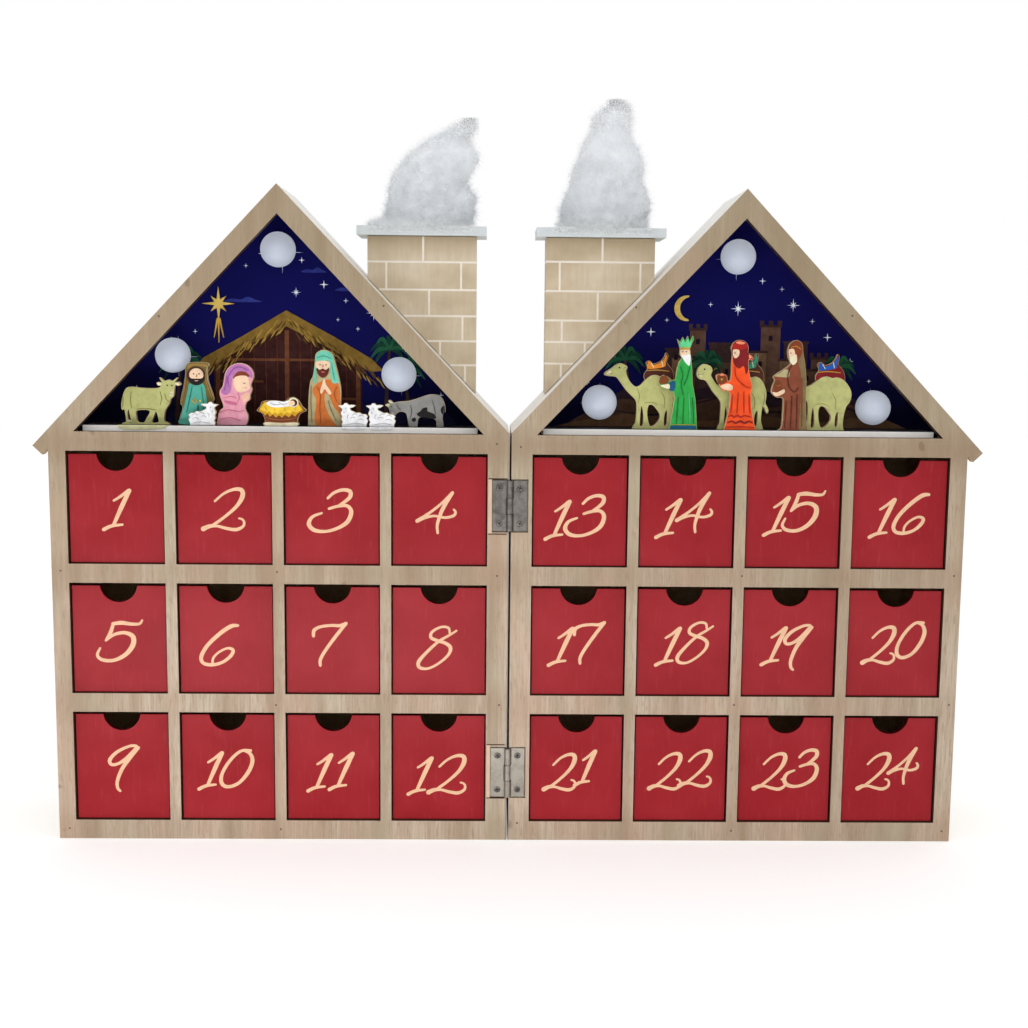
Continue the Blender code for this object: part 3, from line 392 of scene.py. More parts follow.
def frosted():
    graph = Graph("frosted_globe", 0.42)
    cloud = graph.noise(EVEN, 90.0, 3.0)
    graph.set("Base Color", graph.ramp(cloud, [(0.35, tone(150, 156, 168)), (0.65, tone(158, 163, 175))]))
    graph.scatter(1.0, (0.008, 0.008, 0.009))
    graph.set("Coat Weight", 0.15)
    graph.set("Coat Roughness", 0.35)
    # Painted light: a glow evens out the globes' shading, though their lamps are off
    graph.set("Emission Color", tone(194, 201, 214))
    graph.set("Emission Strength", 0.46)
    grit = graph.noise(EVEN, 2200.0, 2.0)
    graph.bump(grit, 0.08, 0.04)
    return graph.material


def plastic(name, colour, roughness):
    graph = Graph(name, roughness)
    grit = graph.noise(EVEN, 1500.0, 3.0)
    pale = tuple(min(1, part * 1.08 + 0.004) for part in colour[:3]) + (1,)
    graph.set("Base Color", graph.ramp(grit, [(0.4, colour), (0.65, pale)]))
    graph.bump(grit, 0.12, 0.04)
    return graph.material


def fibre_white(name, colour, shade, weight):
    """White fibre with painted shade, greyer low down in the tuft, and painted light that makes it pale
    again at its foot on the cap.
    """
    graph = Graph(name, 0.95)
    cloud = graph.noise(EVEN, 120.0, 4.0, 0.6)
    height = graph.math("MULTIPLY", graph.math("SUBTRACT", graph.axes()[2], CAP_TOP * MM), 1 / (60 * MM))
    mixed = graph.math("ADD", height, graph.math("MULTIPLY", graph.math("SUBTRACT", cloud, 0.5), 1.1))
    # Painted shade: greyer low in the tuft; painted light: pale again at its foot
    tuft = graph.ramp(mixed, [(0.10, shade), (0.75, colour)])
    foot = graph.grey(height, [(0.02, 0.9), (0.14, 0)])
    graph.set("Base Color", graph.mix(foot, tuft, tone(250, 252, 253)))
    graph.set("Sheen Weight", 0.35)
    graph.set("Sheen Roughness", 0.6)
    graph.scatter(weight, (0.006, 0.006, 0.007))
    wisps = graph.noise((1, 1, 0.5), 700.0, 5.0, 0.7, 1.5)
    graph.bump(wisps, 0.6, 0.5)
    return graph.material


# Paints of the figures and the backdrops, by name
PAINTS = {
    "olive": (186, 187, 122), "olive_dark": (132, 128, 62), "olive_pale": (212, 210, 164),
    "cream": (232, 222, 190), "black": (24, 20, 20), "umber": (70, 42, 26), "teal": (80, 166, 148),
    "teal_dark": (34, 104, 98), "hood": (112, 96, 48), "gold": (190, 150, 62), "hood_light": (150, 118, 62),
    "skin": (238, 204, 172), "skin_pink": (236, 186, 160), "lavender": (184, 118, 176),
    "lavender_dark": (142, 84, 148), "pink": (228, 158, 176), "pink_dark": (200, 110, 142),
    "hair": (128, 58, 32), "basket": (116, 60, 30), "basket_light": (172, 108, 62), "straw": (240, 200, 58),
    "straw_dark": (206, 154, 34), "white": (236, 236, 238), "fleece": (222, 222, 226),
    "grey_line": (150, 152, 158), "mint": (110, 198, 172), "mint_dark": (66, 146, 122),
    "orange": (204, 112, 50), "orange_dark": (158, 76, 28), "tan": (178, 166, 124),
    "tan_dark": (126, 106, 70), "beard": (92, 34, 26), "grey": (144, 143, 139), "grey_dark": (86, 86, 84),
    "grey_pale": (190, 190, 186), "green": (46, 164, 72), "green_dark": (20, 108, 52),
    "green_light": (98, 206, 140), "sea_blue": (24, 84, 120), "maroon": (122, 24, 28),
    "red_orange": (238, 82, 32), "red_dark": (166, 34, 26), "rose": (240, 140, 110), "brown": (132, 70, 48),
    "brown_dark": (74, 38, 28), "bundle_orange": (222, 134, 42), "bundle_brown": (74, 34, 22),
    "bundle_blue": (32, 92, 178), "bundle_green": (40, 150, 116),
}
BACKDROP_PAINTS = {
    "wall_dark": (56, 28, 26), "wall_line": (84, 44, 34), "wall_light": (104, 62, 42),
    "thatch": (128, 100, 44), "thatch_light": (160, 128, 58), "thatch_dark": (86, 64, 30),
    "palm": (22, 62, 46), "palm_light": (34, 88, 60), "trunk": (66, 48, 44), "hill": (26, 26, 58),
    "star_white": (226, 232, 250), "comet": (196, 158, 70), "comet_light": (222, 190, 100),
    "dune": (78, 54, 42), "dune_dark": (46, 32, 40), "dune_light": (98, 70, 48), "town": (92, 66, 54),
    "town_dark": (62, 42, 42), "town_light": (118, 90, 66), "window": (30, 22, 38), "cloud": (44, 52, 128),
}
paints = {}


def paint(name):
    """The figure or backdrop paint of that name, made once."""
    if name not in paints:
        if name in PAINTS:
            paints[name] = painted("paint_" + name, tone(*PAINTS[name]), 0.5, 0.10, gloss=0.15)
        else:
            paints[name] = painted("print_" + name, tone(*BACKDROP_PAINTS[name]), 0.7, 0.16, gloss=0.05)
    return paints[name]


def curve(points, steps=4, closed=True):
    """A smooth line through the points."""
    count = len(points)
    line = []
    spans = count if closed else count - 1
    for i in range(spans):
        if closed:
            before, start, end, after = (points[(i + k) % count] for k in (-1, 0, 1, 2))
        else:
            before, start, end, after = (points[min(max(i + k, 0), count - 1)] for k in (-1, 0, 1, 2))
        for step in range(steps):
            t = step / steps
            line.append(tuple(
                0.5 * (2 * b + (c - a) * t + (2 * a - 5 * b + 4 * c - d) * t ** 2
                       + (3 * b - a - 3 * c + d) * t ** 3)
                for a, b, c, d in zip(before, start, end, after)
            ))
    if not closed:
        line.append(tuple(points[-1]))
    return line


def ellipse(x, z, wide, high, steps=20):
    """An ellipse by its half width and half height."""
    turns = [2 * math.pi * step / steps for step in range(steps)]
    return [(x + wide * math.cos(turn), z + high * math.sin(turn)) for turn in turns]


def rectangle(left, right, low, high):
    return [(left, low), (right, low), (right, high), (left, high)]


def inset(ring, distance):
    """The ring moved inward by a small distance."""
    ring = list(ring)
    if sum(a[0] * b[1] - b[0] * a[1] for a, b in zip(ring, ring[1:] + ring[:1])) < 0:
        ring = ring[::-1]
    moved = []
    count = len(ring)
    for i in range(count):
        before = Vector(ring[i - 1])
        here = Vector(ring[i])
        after = Vector(ring[(i + 1) % count])
        along = (here - before).normalized() + (after - here).normalized()
        if along.length < 1e-6:
            moved.append(tuple(here))
            continue
        along.normalize()
        moved.append((here.x - along.y * distance, here.y + along.x * distance))
    return moved


def new_object(name, data):
    made = bpy.data.objects.new(name, data)
    bpy.context.scene.collection.objects.link(made)
    return made


class Piece:
    """A mesh under construction, from closed bodies that each have a material."""

    def __init__(self, name):
        self.name = name
        self.bm = bmesh.new()
        self.materials = []
        self.lift = 0.0

    def index(self, material):
        if material not in self.materials:
            self.materials.append(material)
        return self.materials.index(material)

    def face(self, corners, index):
        if len(set(corners)) > 2:
            self.bm.faces.new(corners).material_index = index

    def skin(self, rings, material):
        """Bridge rings of points; a ring of one point makes a tip."""
        index = self.index(material)
        loops = [[self.bm.verts.new(point) for point in ring] for ring in rings]
        for low, high in zip(loops, loops[1:]):
            count = max(len(low), len(high))
            for i in range(count):
                j = (i + 1) % count
                corners = [low[i % len(low)], low[j % len(low)], high[j % len(high)], high[i % len(high)]]
                self.face(list(dict.fromkeys(corners)), index)
        for loop in (loops[0], loops[-1]):
            if len(loop) > 2:
                self.face(loop, index)

    def prism(self, ring, near, far, material, holes=()):
        """A flat body whose outline is seen from the front; no two front faces lie in one plane."""
        index = self.index(material)
        self.lift += HAIR
        near -= self.lift
        loops = [list(ring)] + [list(hole) for hole in holes]
        near_loops = [[self.bm.verts.new(at(x, near, z)) for x, z in loop] for loop in loops]
        far_loops = [[self.bm.verts.new(at(x, far, z)) for x, z in loop] for loop in loops]
        if holes:
            flat = [[Vector((x, z, 0)) for x, z in loop] for loop in loops]
            front = sum(near_loops, [])
            back = sum(far_loops, [])
            for a, b, c in tessellate_polygon(flat):
                self.face((front[a], front[b], front[c]), index)
                self.face((back[c], back[b], back[a]), index)
        else:
            self.face(near_loops[0], index)
            self.face(far_loops[0][::-1], index)
        for near_loop, far_loop in zip(near_loops, far_loops):
            for i in range(len(near_loop)):
                j = (i + 1) % len(near_loop)
                self.face((near_loop[i], far_loop[i], far_loop[j], near_loop[j]), index)

    def box(self, low, high, material):
        """A block between two corners, each (x, depth, z)."""
        ring = rectangle(low[0], high[0], low[1], high[1])
        self.skin([[at(x, depth, z) for x, depth in ring] for z in (low[2], high[2])], material)

    def stroke(self, points, widths, near, far, material, steps=6):
        """A painted line with rounded ends; its width runs through widths, and it rises a little."""
        self.lift += HAIR
        line = curve(points, steps, False) if steps > 1 else [tuple(point) for point in points]
        last = len(line) - 1
        spread = []
        for i in range(len(line)):
            place = i / last * (len(widths) - 1)
            k = min(int(place), len(widths) - 2)
            spread.append(widths[k] + (widths[k + 1] - widths[k]) * (place - k))
        line = [Vector(point) for point in line]
        start = (line[0] - line[1]).normalized()
        end = (line[-1] - line[-2]).normalized()
        tips = ((0.45, 0.35), (0.28, 0.78))
        samples = [(line[0] + start * spread[0] * out, spread[0] * wide) for out, wide in tips]
        samples += list(zip(line, spread))
        samples += [(line[-1] + end * spread[-1] * out, spread[-1] * wide) for out, wide in tips[::-1]]
        rings = []
        for i, (point, width) in enumerate(samples):
            before = samples[max(i - 1, 0)][0]
            after = samples[min(i + 1, len(samples) - 1)][0]
            along = (after - before).normalized()
            side = Vector((-along.y, along.x)) * width / 2
            one = point + side
            two = point - side
            front = near - self.lift - STROKE_RISE * i / len(samples)
            rings.append([at(one.x, front, one.y), at(two.x, front, two.y), at(two.x, far, two.y),
                          at(one.x, far, one.y)])
        self.skin(rings, material)

    def lathe(self, profile, centre, axis, material, steps):
        """Rings round an axis; the profile gives (radius, way along the axis)."""
        turn = Vector(axis).to_track_quat("Z", "Y")
        rings = []
        for radius, along in profile:
            count = steps if radius else 1
            ring = []
            for step in range(count):
                angle = 2 * math.pi * step / steps
                offset = turn @ Vector((radius * math.cos(angle), radius * math.sin(angle), along))
                ring.append(at(centre[0] + offset.x, centre[1] + offset.y, centre[2] + offset.z))
            rings.append(ring)
        self.skin(rings, material)

    def tube(self, points, radius, material):
        """A round tube along a line of (x, depth, z) points."""
        steps = 8
        line = [Vector(point) for point in points]
        rings = []
        up = Vector((0, 0, 1))
        for i, point in enumerate(line):
            along = (line[min(i + 1, len(line) - 1)] - line[max(i - 1, 0)]).normalized()
            side = along.cross(up)
            if side.length < 0.05:
                side = along.cross(Vector((1, 0, 0)))
            side.normalize()
            other = along.cross(side)
            ring = []
            for step in range(steps):
                angle = 2 * math.pi * step / steps
                spot = point + (side * math.cos(angle) + other * math.sin(angle)) * radius
                ring.append(at(*spot))
            rings.append(ring)
        self.skin(rings, material)

    def build(self):
        """The object with the mesh and its materials."""
        mesh = bpy.data.meshes.new(self.name)
        self.bm.to_mesh(mesh)
        self.bm.free()
        for material in self.materials:
            mesh.materials.append(material)
        return new_object(self.name, mesh)

    def finish(self, body, slot, replaces=(), bevel=0.0, smooth=0.0):
        """Make the object and let it ride on its body."""
        bmesh.ops.recalc_face_normals(self.bm, faces=self.bm.faces)
        piece = self.build()
        if smooth:
            piece.data.shade_smooth()
            piece.data.set_sharp_from_angle(angle=math.radians(smooth))
        if bevel:
            soften(piece, bevel)
        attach(piece, body)
        if replaces:
            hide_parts(*replaces)


def soften(piece, width):
    """Round the sharp edges a little."""
    step = piece.modifiers.new("soft_edges", "BEVEL")
    step.width = width * MM
    step.segments = 2
    step.limit_method = "ANGLE"
    step.angle_limit = math.radians(35)
    step.harden_normals = False
    step.use_clamp_overlap = True


def dress(name, material, bevel):
    """Give a CAD node its finish and soft edges."""
    node = NODES[name]
    node.data.materials.clear()
    node.data.materials.append(material)
    soften(node, bevel)


# Numerals as pen strokes in millimetres: (x, z, pen width), measured from the digit's lower left corner
DIGITS = {
    "0": [
        [
            (17.1, 20.3, 1.6), (11.8, 20, 1.7), (5.9, 15.1, 1.9), (1.3, 7.9, 2), (1, 2.6, 2.3),
            (4.6, 0.8, 2), (10.5, 3, 1.9), (15.7, 8.9, 2.3), (18, 14.8, 2.4), (16.7, 18.7, 2),
            (13.8, 20.2, 1.5),
        ],
    ],
    "1": [
        [(6.2, 15.2, 1.3), (9.4, 17.2, 1.6), (13.6, 20.3, 2)],
        [(14, 20.3, 2.3), (10.2, 12.6, 2.6), (5.7, 2.8, 1.8)],
        [(0.9, 0.8, 2.1), (4.8, 2.6, 1.9), (10.2, 3.3, 1.3)],
    ],
    "2": [
        [
            (7, 15.1, 1.3), (11.5, 18.9, 1.4), (16.5, 21, 1.8), (20.2, 20.6, 2.5), (20.5, 17.4, 2.7),
            (17.6, 12.6, 2), (11.8, 7.4, 1.6), (5.4, 2.8, 1.7),
        ],
        [
            (1, 1.2, 2.8), (4.3, 2.6, 2.2), (8, 2.7, 1.5), (12.4, 1.6, 1.8), (17.2, 1, 2), (20.6, 2.6, 1.6),
            (21.2, 4.8, 1.4), (20.2, 6.2, 1.2), (18.7, 6.6, 1.1),
        ],
    ],
    "3": [
        [
            (10.4, 17.3, 1.5), (13.4, 20, 1.7), (17.8, 21.5, 1.9), (21.3, 20.8, 2.4), (21.4, 18.2, 2.3),
            (19, 15.8, 1.9), (16, 13.8, 1.6),
        ],
        [
            (10.9, 12.1, 1.5), (15.5, 13.4, 1.7), (19.8, 13.6, 1.9), (21.9, 10.8, 2.4), (20.2, 5.9, 2.5),
            (15.5, 2.6, 1.9), (9.4, 0.8, 1.7), (3.6, 1.4, 2.3), (1, 4.4, 2.5), (2.8, 8, 1.8),
            (7.4, 9.9, 1.2),
        ],
    ],
    "4": [
        [(18.6, 20.6, 1.9), (13.4, 15.4, 1.5), (7.7, 10.8, 1.5), (1.2, 6.4, 2.2)],
        [
            (1.2, 6.4, 2.2), (5, 8, 1.6), (9.7, 9, 1.4), (15.1, 8.2, 1.5), (19.2, 9.2, 1.7),
            (20.2, 10.9, 1.5), (19.3, 12.3, 1.2),
        ],
        [(18.6, 20.6, 2), (14.1, 13.1, 2.3), (11.8, 7.1, 1.9), (11.1, 3.7, 1.6), (11.4, 0.5, 1.5)],
    ],
    "5": [
        [(23.6, 21.8, 1.1), (22.2, 20, 1.5), (18.4, 19.8, 1.9), (13.4, 20.4, 2.4), (9, 19.9, 1.9)],
        [(9.2, 19.9, 1.8), (7.9, 15.9, 2.2), (5.4, 11.5, 1.4)],
        [
            (5.3, 11.4, 1.4), (9.5, 14.4, 1.8), (14.8, 15.4, 2), (18.8, 13.4, 2.8), (18.6, 9, 2.9),
            (14.8, 4.2, 2.4), (8.9, 1.3, 2), (3.2, 1.6, 2), (0.9, 4, 1.7), (2.4, 7.5, 1.2),
        ],
    ],
    "6": [
        [
            (19.6, 21, 1.6), (16.2, 20.6, 2.4), (10.8, 17, 2.3), (4.5, 11, 2.2), (1.2, 5.4, 2.3),
            (1.9, 1.9, 2), (6.2, 0.9, 2), (11.5, 2.2, 1.7), (15.7, 5.4, 2), (17, 8.4, 2), (14.2, 9.4, 1.4),
            (10, 7.4, 1.3), (7.2, 4.6, 1.4), (6.6, 1.8, 1.4),
        ],
    ],
    "7": [
        [
            (1.3, 15.6, 1.8), (1.7, 18.6, 2.1), (5, 20.4, 1.7), (10.4, 21.1, 1.7), (14.4, 21, 1.9),
            (17.6, 22.2, 1.9),
        ],
        [(17.6, 22.2, 1.9), (11.8, 14.8, 2), (6.6, 7.4, 1.9), (4.6, 3.4, 1.9), (4.6, 0.6, 1.6)],
    ],
    "8": [
        [
            (20.8, 20.2, 1.2), (17.1, 17.8, 1.4), (11.8, 14.6, 1.6), (5.9, 9.1, 1.8), (1.9, 4.2, 2.2),
            (2.4, 1.3, 2), (6.6, 0.8, 1.4), (11.8, 3.4, 1.4), (16.6, 7.7, 1.6), (17.8, 11.4, 2.2),
            (15.3, 13.8, 2), (11.1, 15.1, 1.9), (8, 16.7, 1.9), (8.7, 19.6, 1.6), (13.1, 22, 1.4),
            (16.7, 21.6, 1.5), (17.4, 19, 1.3),
        ],
    ],
    "9": [
        [
            (15, 23.4, 1.5), (14.2, 24.1, 1.7), (10.8, 23.8, 1.6), (4.9, 20.9, 1.9), (1.2, 16.9, 2.2),
            (1.9, 14.4, 1.9), (5.2, 14.8, 1.7), (9.5, 17.6, 2.1), (14.4, 22.6, 2.3),
        ],
        [
            (15.6, 23.2, 1.9), (10.8, 17.5, 2.5), (7, 11.8, 2.2), (4.7, 5.9, 2), (4.7, 2.3, 1.8),
            (6, 0.6, 1.4),
        ],
    ],
}
# Two-digit numbers: scale of the digits across and up, and where the second digit starts in (x, z)
PAIR_SCALES = {"1": (0.92, 0.97), "2": (0.79, 0.92)}
SECOND_STARTS = {
    "10": (11.5, 1.3), "11": (10.8, 0.8), "12": (10.2, 0.6), "13": (9.8, 1.9), "14": (9.9, 3.2),
    "15": (9.2, 2), "16": (11.8, 2), "17": (12.5, 1.3), "18": (10.2, 1.3), "19": (11.5, -2.3),
    "20": (17.4, 3.1), "21": (15.7, 2.5), "22": (15.3, 1.5), "23": (15.4, 1.7), "24": (15.2, 3.3),
}
NUMBER_MIDDLE = 0.487
PEN = 0.87
# How far a numeral was set beside or above the usual place
NUMBER_SHIFTS = {
    2: (-0.5, 0.7), 3: (-1, 0.5), 4: (-1.5, -0.2), 6: (-3.4, -2.2), 7: (-1.5, -1.5), 8: (-0.7, -2.9),
    9: (0.7, -0.5), 10: (-1.5, -1), 11: (-1.7, -2), 12: (-1, -3.2), 13: (-2.5, -2), 14: (-1.2, -0.5),
    15: (0.7, 1), 17: (-0.7, -0.5), 18: (0.5, -0.2), 19: (-1, -1.7), 20: (0, 1), 21: (-3.2, -0.5),
    23: (0.7, 0.5), 24: (0, 1.2),
}


def drawer_number(node, number, low, high):
    """Cream pen numerals on a drawer's front."""
    digits = str(number)
    wide, tall = PAIR_SCALES[digits[0]] if len(digits) > 1 else (1.0, 1.0)
    starts = [(0.0, 0.0)]
    if len(digits) > 1:
        starts.append(SECOND_STARTS[digits])
    strokes = []
    for digit, (right, up) in zip(digits, starts):
        for stroke in DIGITS[digit]:
            strokes.append([(right + x * wide, up + z * tall, PEN * width) for x, z, width in stroke])
    spots = sum(strokes, [])
    left = (min(x for x, z, width in spots) + max(x for x, z, width in spots)) / 2
    middle = (min(z for x, z, width in spots) + max(z for x, z, width in spots)) / 2
    shift = NUMBER_SHIFTS.get(number, (0, 0))
    across = (low.x + high.x) / 2 - left + shift[0]
    up = low.z + (high.z - low.z) * NUMBER_MIDDLE - middle + shift[1]
    front = low.y - FRONT_Y
    piece = Piece(node + "_number")
    for order, stroke in enumerate(strokes):
        moved = [(across + x, up + z) for x, z, width in stroke]
        level = front - COAT / 2 - order * STROKE_RISE
        widths = [width for x, z, width in stroke]
        piece.stroke(moved, widths, level, front + COAT, MATERIALS["number_cream"])
    piece.finish(node, "red_paint")


def drawer(number):
    """A drawer's printed front, its plain box and its number."""
    node = "drawer_{:02d}".format(number)
    low, high = node_box(node)
    front = low.y - FRONT_Y
    back = high.y - FRONT_Y
    middle = (low.x + high.x) / 2
    centre = high.z + NOTCH_RADIUS - NOTCH_DEPTH
    spread = math.acos((NOTCH_RADIUS - NOTCH_DEPTH) / NOTCH_RADIUS)
    steps = 28
    notch = []
    for step in range(steps + 1):
        turn = spread - 2 * spread * step / steps
        notch.append((middle + NOTCH_RADIUS * math.sin(turn), centre - NOTCH_RADIUS * math.cos(turn)))
    ring = [(low.x, low.z), (high.x, low.z), (high.x, high.z)] + notch + [(low.x, high.z)]
    face = Piece(node + "_front")
    face.prism(ring, front, front + DRAWER_FRONT, MATERIALS["drawer_red"])
    face.finish(node, "red_paint", [node], 0.22, 30)
    hold = Piece(node + "_box")
    wood = MATERIALS["box_wood"]
    wall = DRAWER_WALL
    start = front + DRAWER_FRONT
    base = low.z + 0.2
    top = high.z - 0.6
    hold.box((low.x + wall, start, base), (high.x - wall, back - wall, low.z + wall), MATERIALS["box_floor"])
    hold.box((low.x + 0.15, start, base), (low.x + wall, back, top), wood)
    hold.box((high.x - wall, start, base), (high.x - 0.15, back, top), wood)
    hold.box((low.x + wall, back - wall, base), (high.x - wall, back, top), wood)
    hold.finish(node, "birch_plywood", [node], 0.2)
    drawer_number(node, number, low, high)


# Figures, each drawn on its own: x from its left edge and z up from the scene board. Coats are (colour,
# outline), lines are (colour, width, one or more paths) and dots are (colour, radius, one or more places)
OX = dict(
    outline=[
        (0.5, 0), (0.9, 0.9), (2.4, 1.4), (2.2, 5), (1.6, 7.6), (0.9, 7), (0.3, 8.2), (0.5, 11.6),
        (2.3, 17.2), (5.2, 18.6), (10.2, 18.1), (15.8, 17.9), (19, 18.2), (20, 19.1), (18.6, 19.3),
        (17.9, 20.5), (19.1, 21.1), (20.6, 20.8), (19.4, 23), (20, 23.1), (21.8, 21.7), (24, 22.2),
        (25.8, 21.7), (27.9, 23.2), (28.3, 22.9), (27, 21), (28.8, 21.2), (30.1, 20), (28.7, 19.2),
        (27.2, 19.5), (26.6, 17.2), (26.2, 14), (24.8, 12.8), (24, 10.2), (22.2, 7.6), (21.4, 4.6),
        (21.5, 1.6), (23.2, 0.9), (24.2, 0),
    ],
    holes=[
        [(3.7, 7.4), (4.4, 4.6), (5, 1.2), (4.1, 1.2), (3.2, 4.4)],
        [(7.9, 6.8), (7.6, 3.6), (8.2, 1.2), (11.2, 1), (12.6, 3.2), (14.2, 6.8)],
        [(17.4, 6.4), (18.4, 3), (18.4, 1.2), (15.2, 1), (16.2, 3.8)],
    ],
    base="olive",
    apron=("olive_pale", [(0.2, 0.1), (24.4, 0.1), (23.6, -1.4), (14, -2.1), (3, -2.1), (0.6, -1.2)]),
    coats=[
        ("olive_pale", curve([(24, 14.2), (25.8, 14.4), (26.2, 16.4), (24.6, 16)])),
        ("cream", curve([(18.4, 20.8), (20.4, 20.4), (19.6, 19.4), (18.4, 19.8)])),
        ("cream", curve([(27.6, 20.8), (29.4, 20.2), (28.6, 19.4), (27.2, 20)])),
        ("olive_pale", [(3.2, 1.2), (5.2, 1.2), (5, 2.2), (3.2, 2.2)]),
    ],
    lines=[
        ("olive_dark", 0.35, [(8, 7.6), (12, 7.9), (17.6, 7.2)], [(19.6, 16.4), (20.4, 13), (19.6, 9.8)]),
        (
            "olive_dark", 0.3, [(22, 15.4), (22.6, 12.6), (24.2, 11.4)], [(1.4, 14), (1.2, 10), (1, 8.4)],
            [(5.6, 16.2), (4.9, 12), (5.6, 8)],
        ),
    ],
    dots=[("black", 0.35, (23.3, 19.4), (25.6, 19.4)), ("umber", 0.2, (24.5, 15.2), (25.5, 15.2))],
)
JOSEPH = dict(
    outline=[
        (0.4, 0), (1, 4), (2.4, 8.6), (1.3, 11.2), (2.9, 18.6), (4, 25), (4, 28.2), (5.8, 30.6), (8, 31),
        (12.6, 30.9), (15.6, 30.4), (15.4, 29), (14.8, 28.2), (15.1, 22), (18, 12.8), (16, 11), (15.6, 6),
        (16, 0),
    ],
    base="hood",
    coats=[
        ("hood_light", curve([
            (5.6, 29.6), (8, 30.3), (12.6, 30.2), (14.9, 29.7), (14.2, 28.7), (8.4, 29.2), (5.2, 27.6),
        ])),
        ("teal", curve([
            (6.3, 20.6), (12.6, 20.6), (14.2, 14), (15.2, 5), (15.4, 0.5), (1, 0.5), (1.7, 4.4), (3.2, 9.4),
            (5, 16.4),
        ])),
        ("umber", ellipse(9.4, 24.2, 4.7, 4.7)), ("skin", ellipse(9.5, 24.7, 3.5, 3.3)),
        ("black", curve([
            (5.6, 24), (6.4, 21.4), (9.4, 19.6), (12.6, 21.4), (13.4, 24), (12, 23), (9.5, 22.8), (7, 23),
        ])),
        ("teal_dark", curve([(9.6, 9), (10.6, 9.2), (10.2, 1.2), (9.2, 1.2)])),
    ],
    lines=[
        ("hood_light", 0.6, [(14.4, 27.6), (14.4, 21.6), (17, 13.2)]),
        ("hood_light", 0.5, [(4.6, 26), (3.7, 19.2), (2.2, 12)]),
        ("teal_dark", 0.35, [(7.4, 19), (6, 13), (4.4, 6)], [(12, 18.6), (12.6, 12), (12.9, 4)]),
        ("skin_pink", 0.4, [(8.7, 22), (9.5, 21.7), (10.3, 22)]),
        ("hair", 0.25, [(9.6, 25), (9.8, 24), (9.3, 23.8)]),
    ],
    dots=[
        ("black", 0.32, (8.2, 25.2), (10.9, 25.2)), ("gold", 0.55, (7.6, 11.8), (9.4, 11.8)),
        ("gold", 0.5, (8.5, 12.8), (8.5, 10.8)), ("straw", 0.45, (11.2, 12)),
    ],
)
MARY = dict(
    outline=[
        (0.2, 0), (0.9, 4.2), (1.9, 7.4), (3.5, 8.6), (3.3, 10.6), (2.1, 14), (1.9, 16.8), (3.6, 19.8),
        (4.6, 25.2), (6.8, 28.8), (11, 30.7), (15.6, 29.8), (18.4, 27), (18.8, 23.6), (17.4, 20.2),
        (18, 17.6), (17, 15), (16.9, 12.8), (15, 11.2), (14.4, 8.2), (15.8, 5), (15.6, 1.8), (14.6, 0),
    ],
    base="pink",
    coats=[
        ("lavender", curve([
            (4.1, 19.8), (5, 25.2), (7.1, 28.5), (11, 30.2), (15.4, 29.3), (17.9, 26.8), (18.2, 23.8),
            (16.8, 24), (14.6, 26.2), (10.6, 26), (8.2, 22.6), (7.6, 17.6), (5.4, 15), (2.6, 16.2),
        ])),
        ("hair", curve([(8.6, 23.2), (11, 26.4), (14.6, 26.4), (16.9, 24.4), (15, 23.8), (11, 23.6)])),
        ("skin", curve([
            (9, 22.8), (11.4, 24.4), (15.2, 24.4), (16.6, 22.4), (16.6, 20), (16.9, 18.4), (15.6, 17.2),
            (12.4, 16.2), (9.6, 18),
        ])),
        ("skin_pink", curve([(12.6, 14.2), (15, 16.2), (16.8, 15.6), (16.2, 12.8), (13.8, 11.6)])),
        ("pink_dark", curve([(4.4, 12.2), (9.8, 11.2), (12.6, 9.4), (9.8, 9.8), (5.2, 10.8)])),
        ("pink", curve([(10.4, 10.4), (12.4, 11), (12.8, 7.6), (10.8, 7)])),
    ],
    lines=[
        ("lavender_dark", 0.4, [(6.4, 19), (6.2, 23.4), (8.6, 27.4), (12, 28.8), (16.2, 27.2)]),
        ("lavender_dark", 0.3, [(4.2, 17.2), (5.2, 20.4), (5.6, 24.4)]),
        ("pink_dark", 0.4, [(1.4, 6), (6, 7.6), (11, 6.8), (14, 7.4)]),
        (
            "pink_dark", 0.35, [(2.6, 3), (7, 3.8), (12, 2.4)], [(4, 13.4), (7.4, 14.2), (10.2, 13.4)],
            [(11, 16), (11.6, 13.4), (10.6, 11.4)],
        ),
        ("umber", 0.25, [(13.6, 21), (14.2, 20.7), (14.8, 21)]),
        ("pink_dark", 0.25, [(14.4, 18.6), (15, 18.4), (15.5, 18.6)]),
    ],
    dots=[],
)
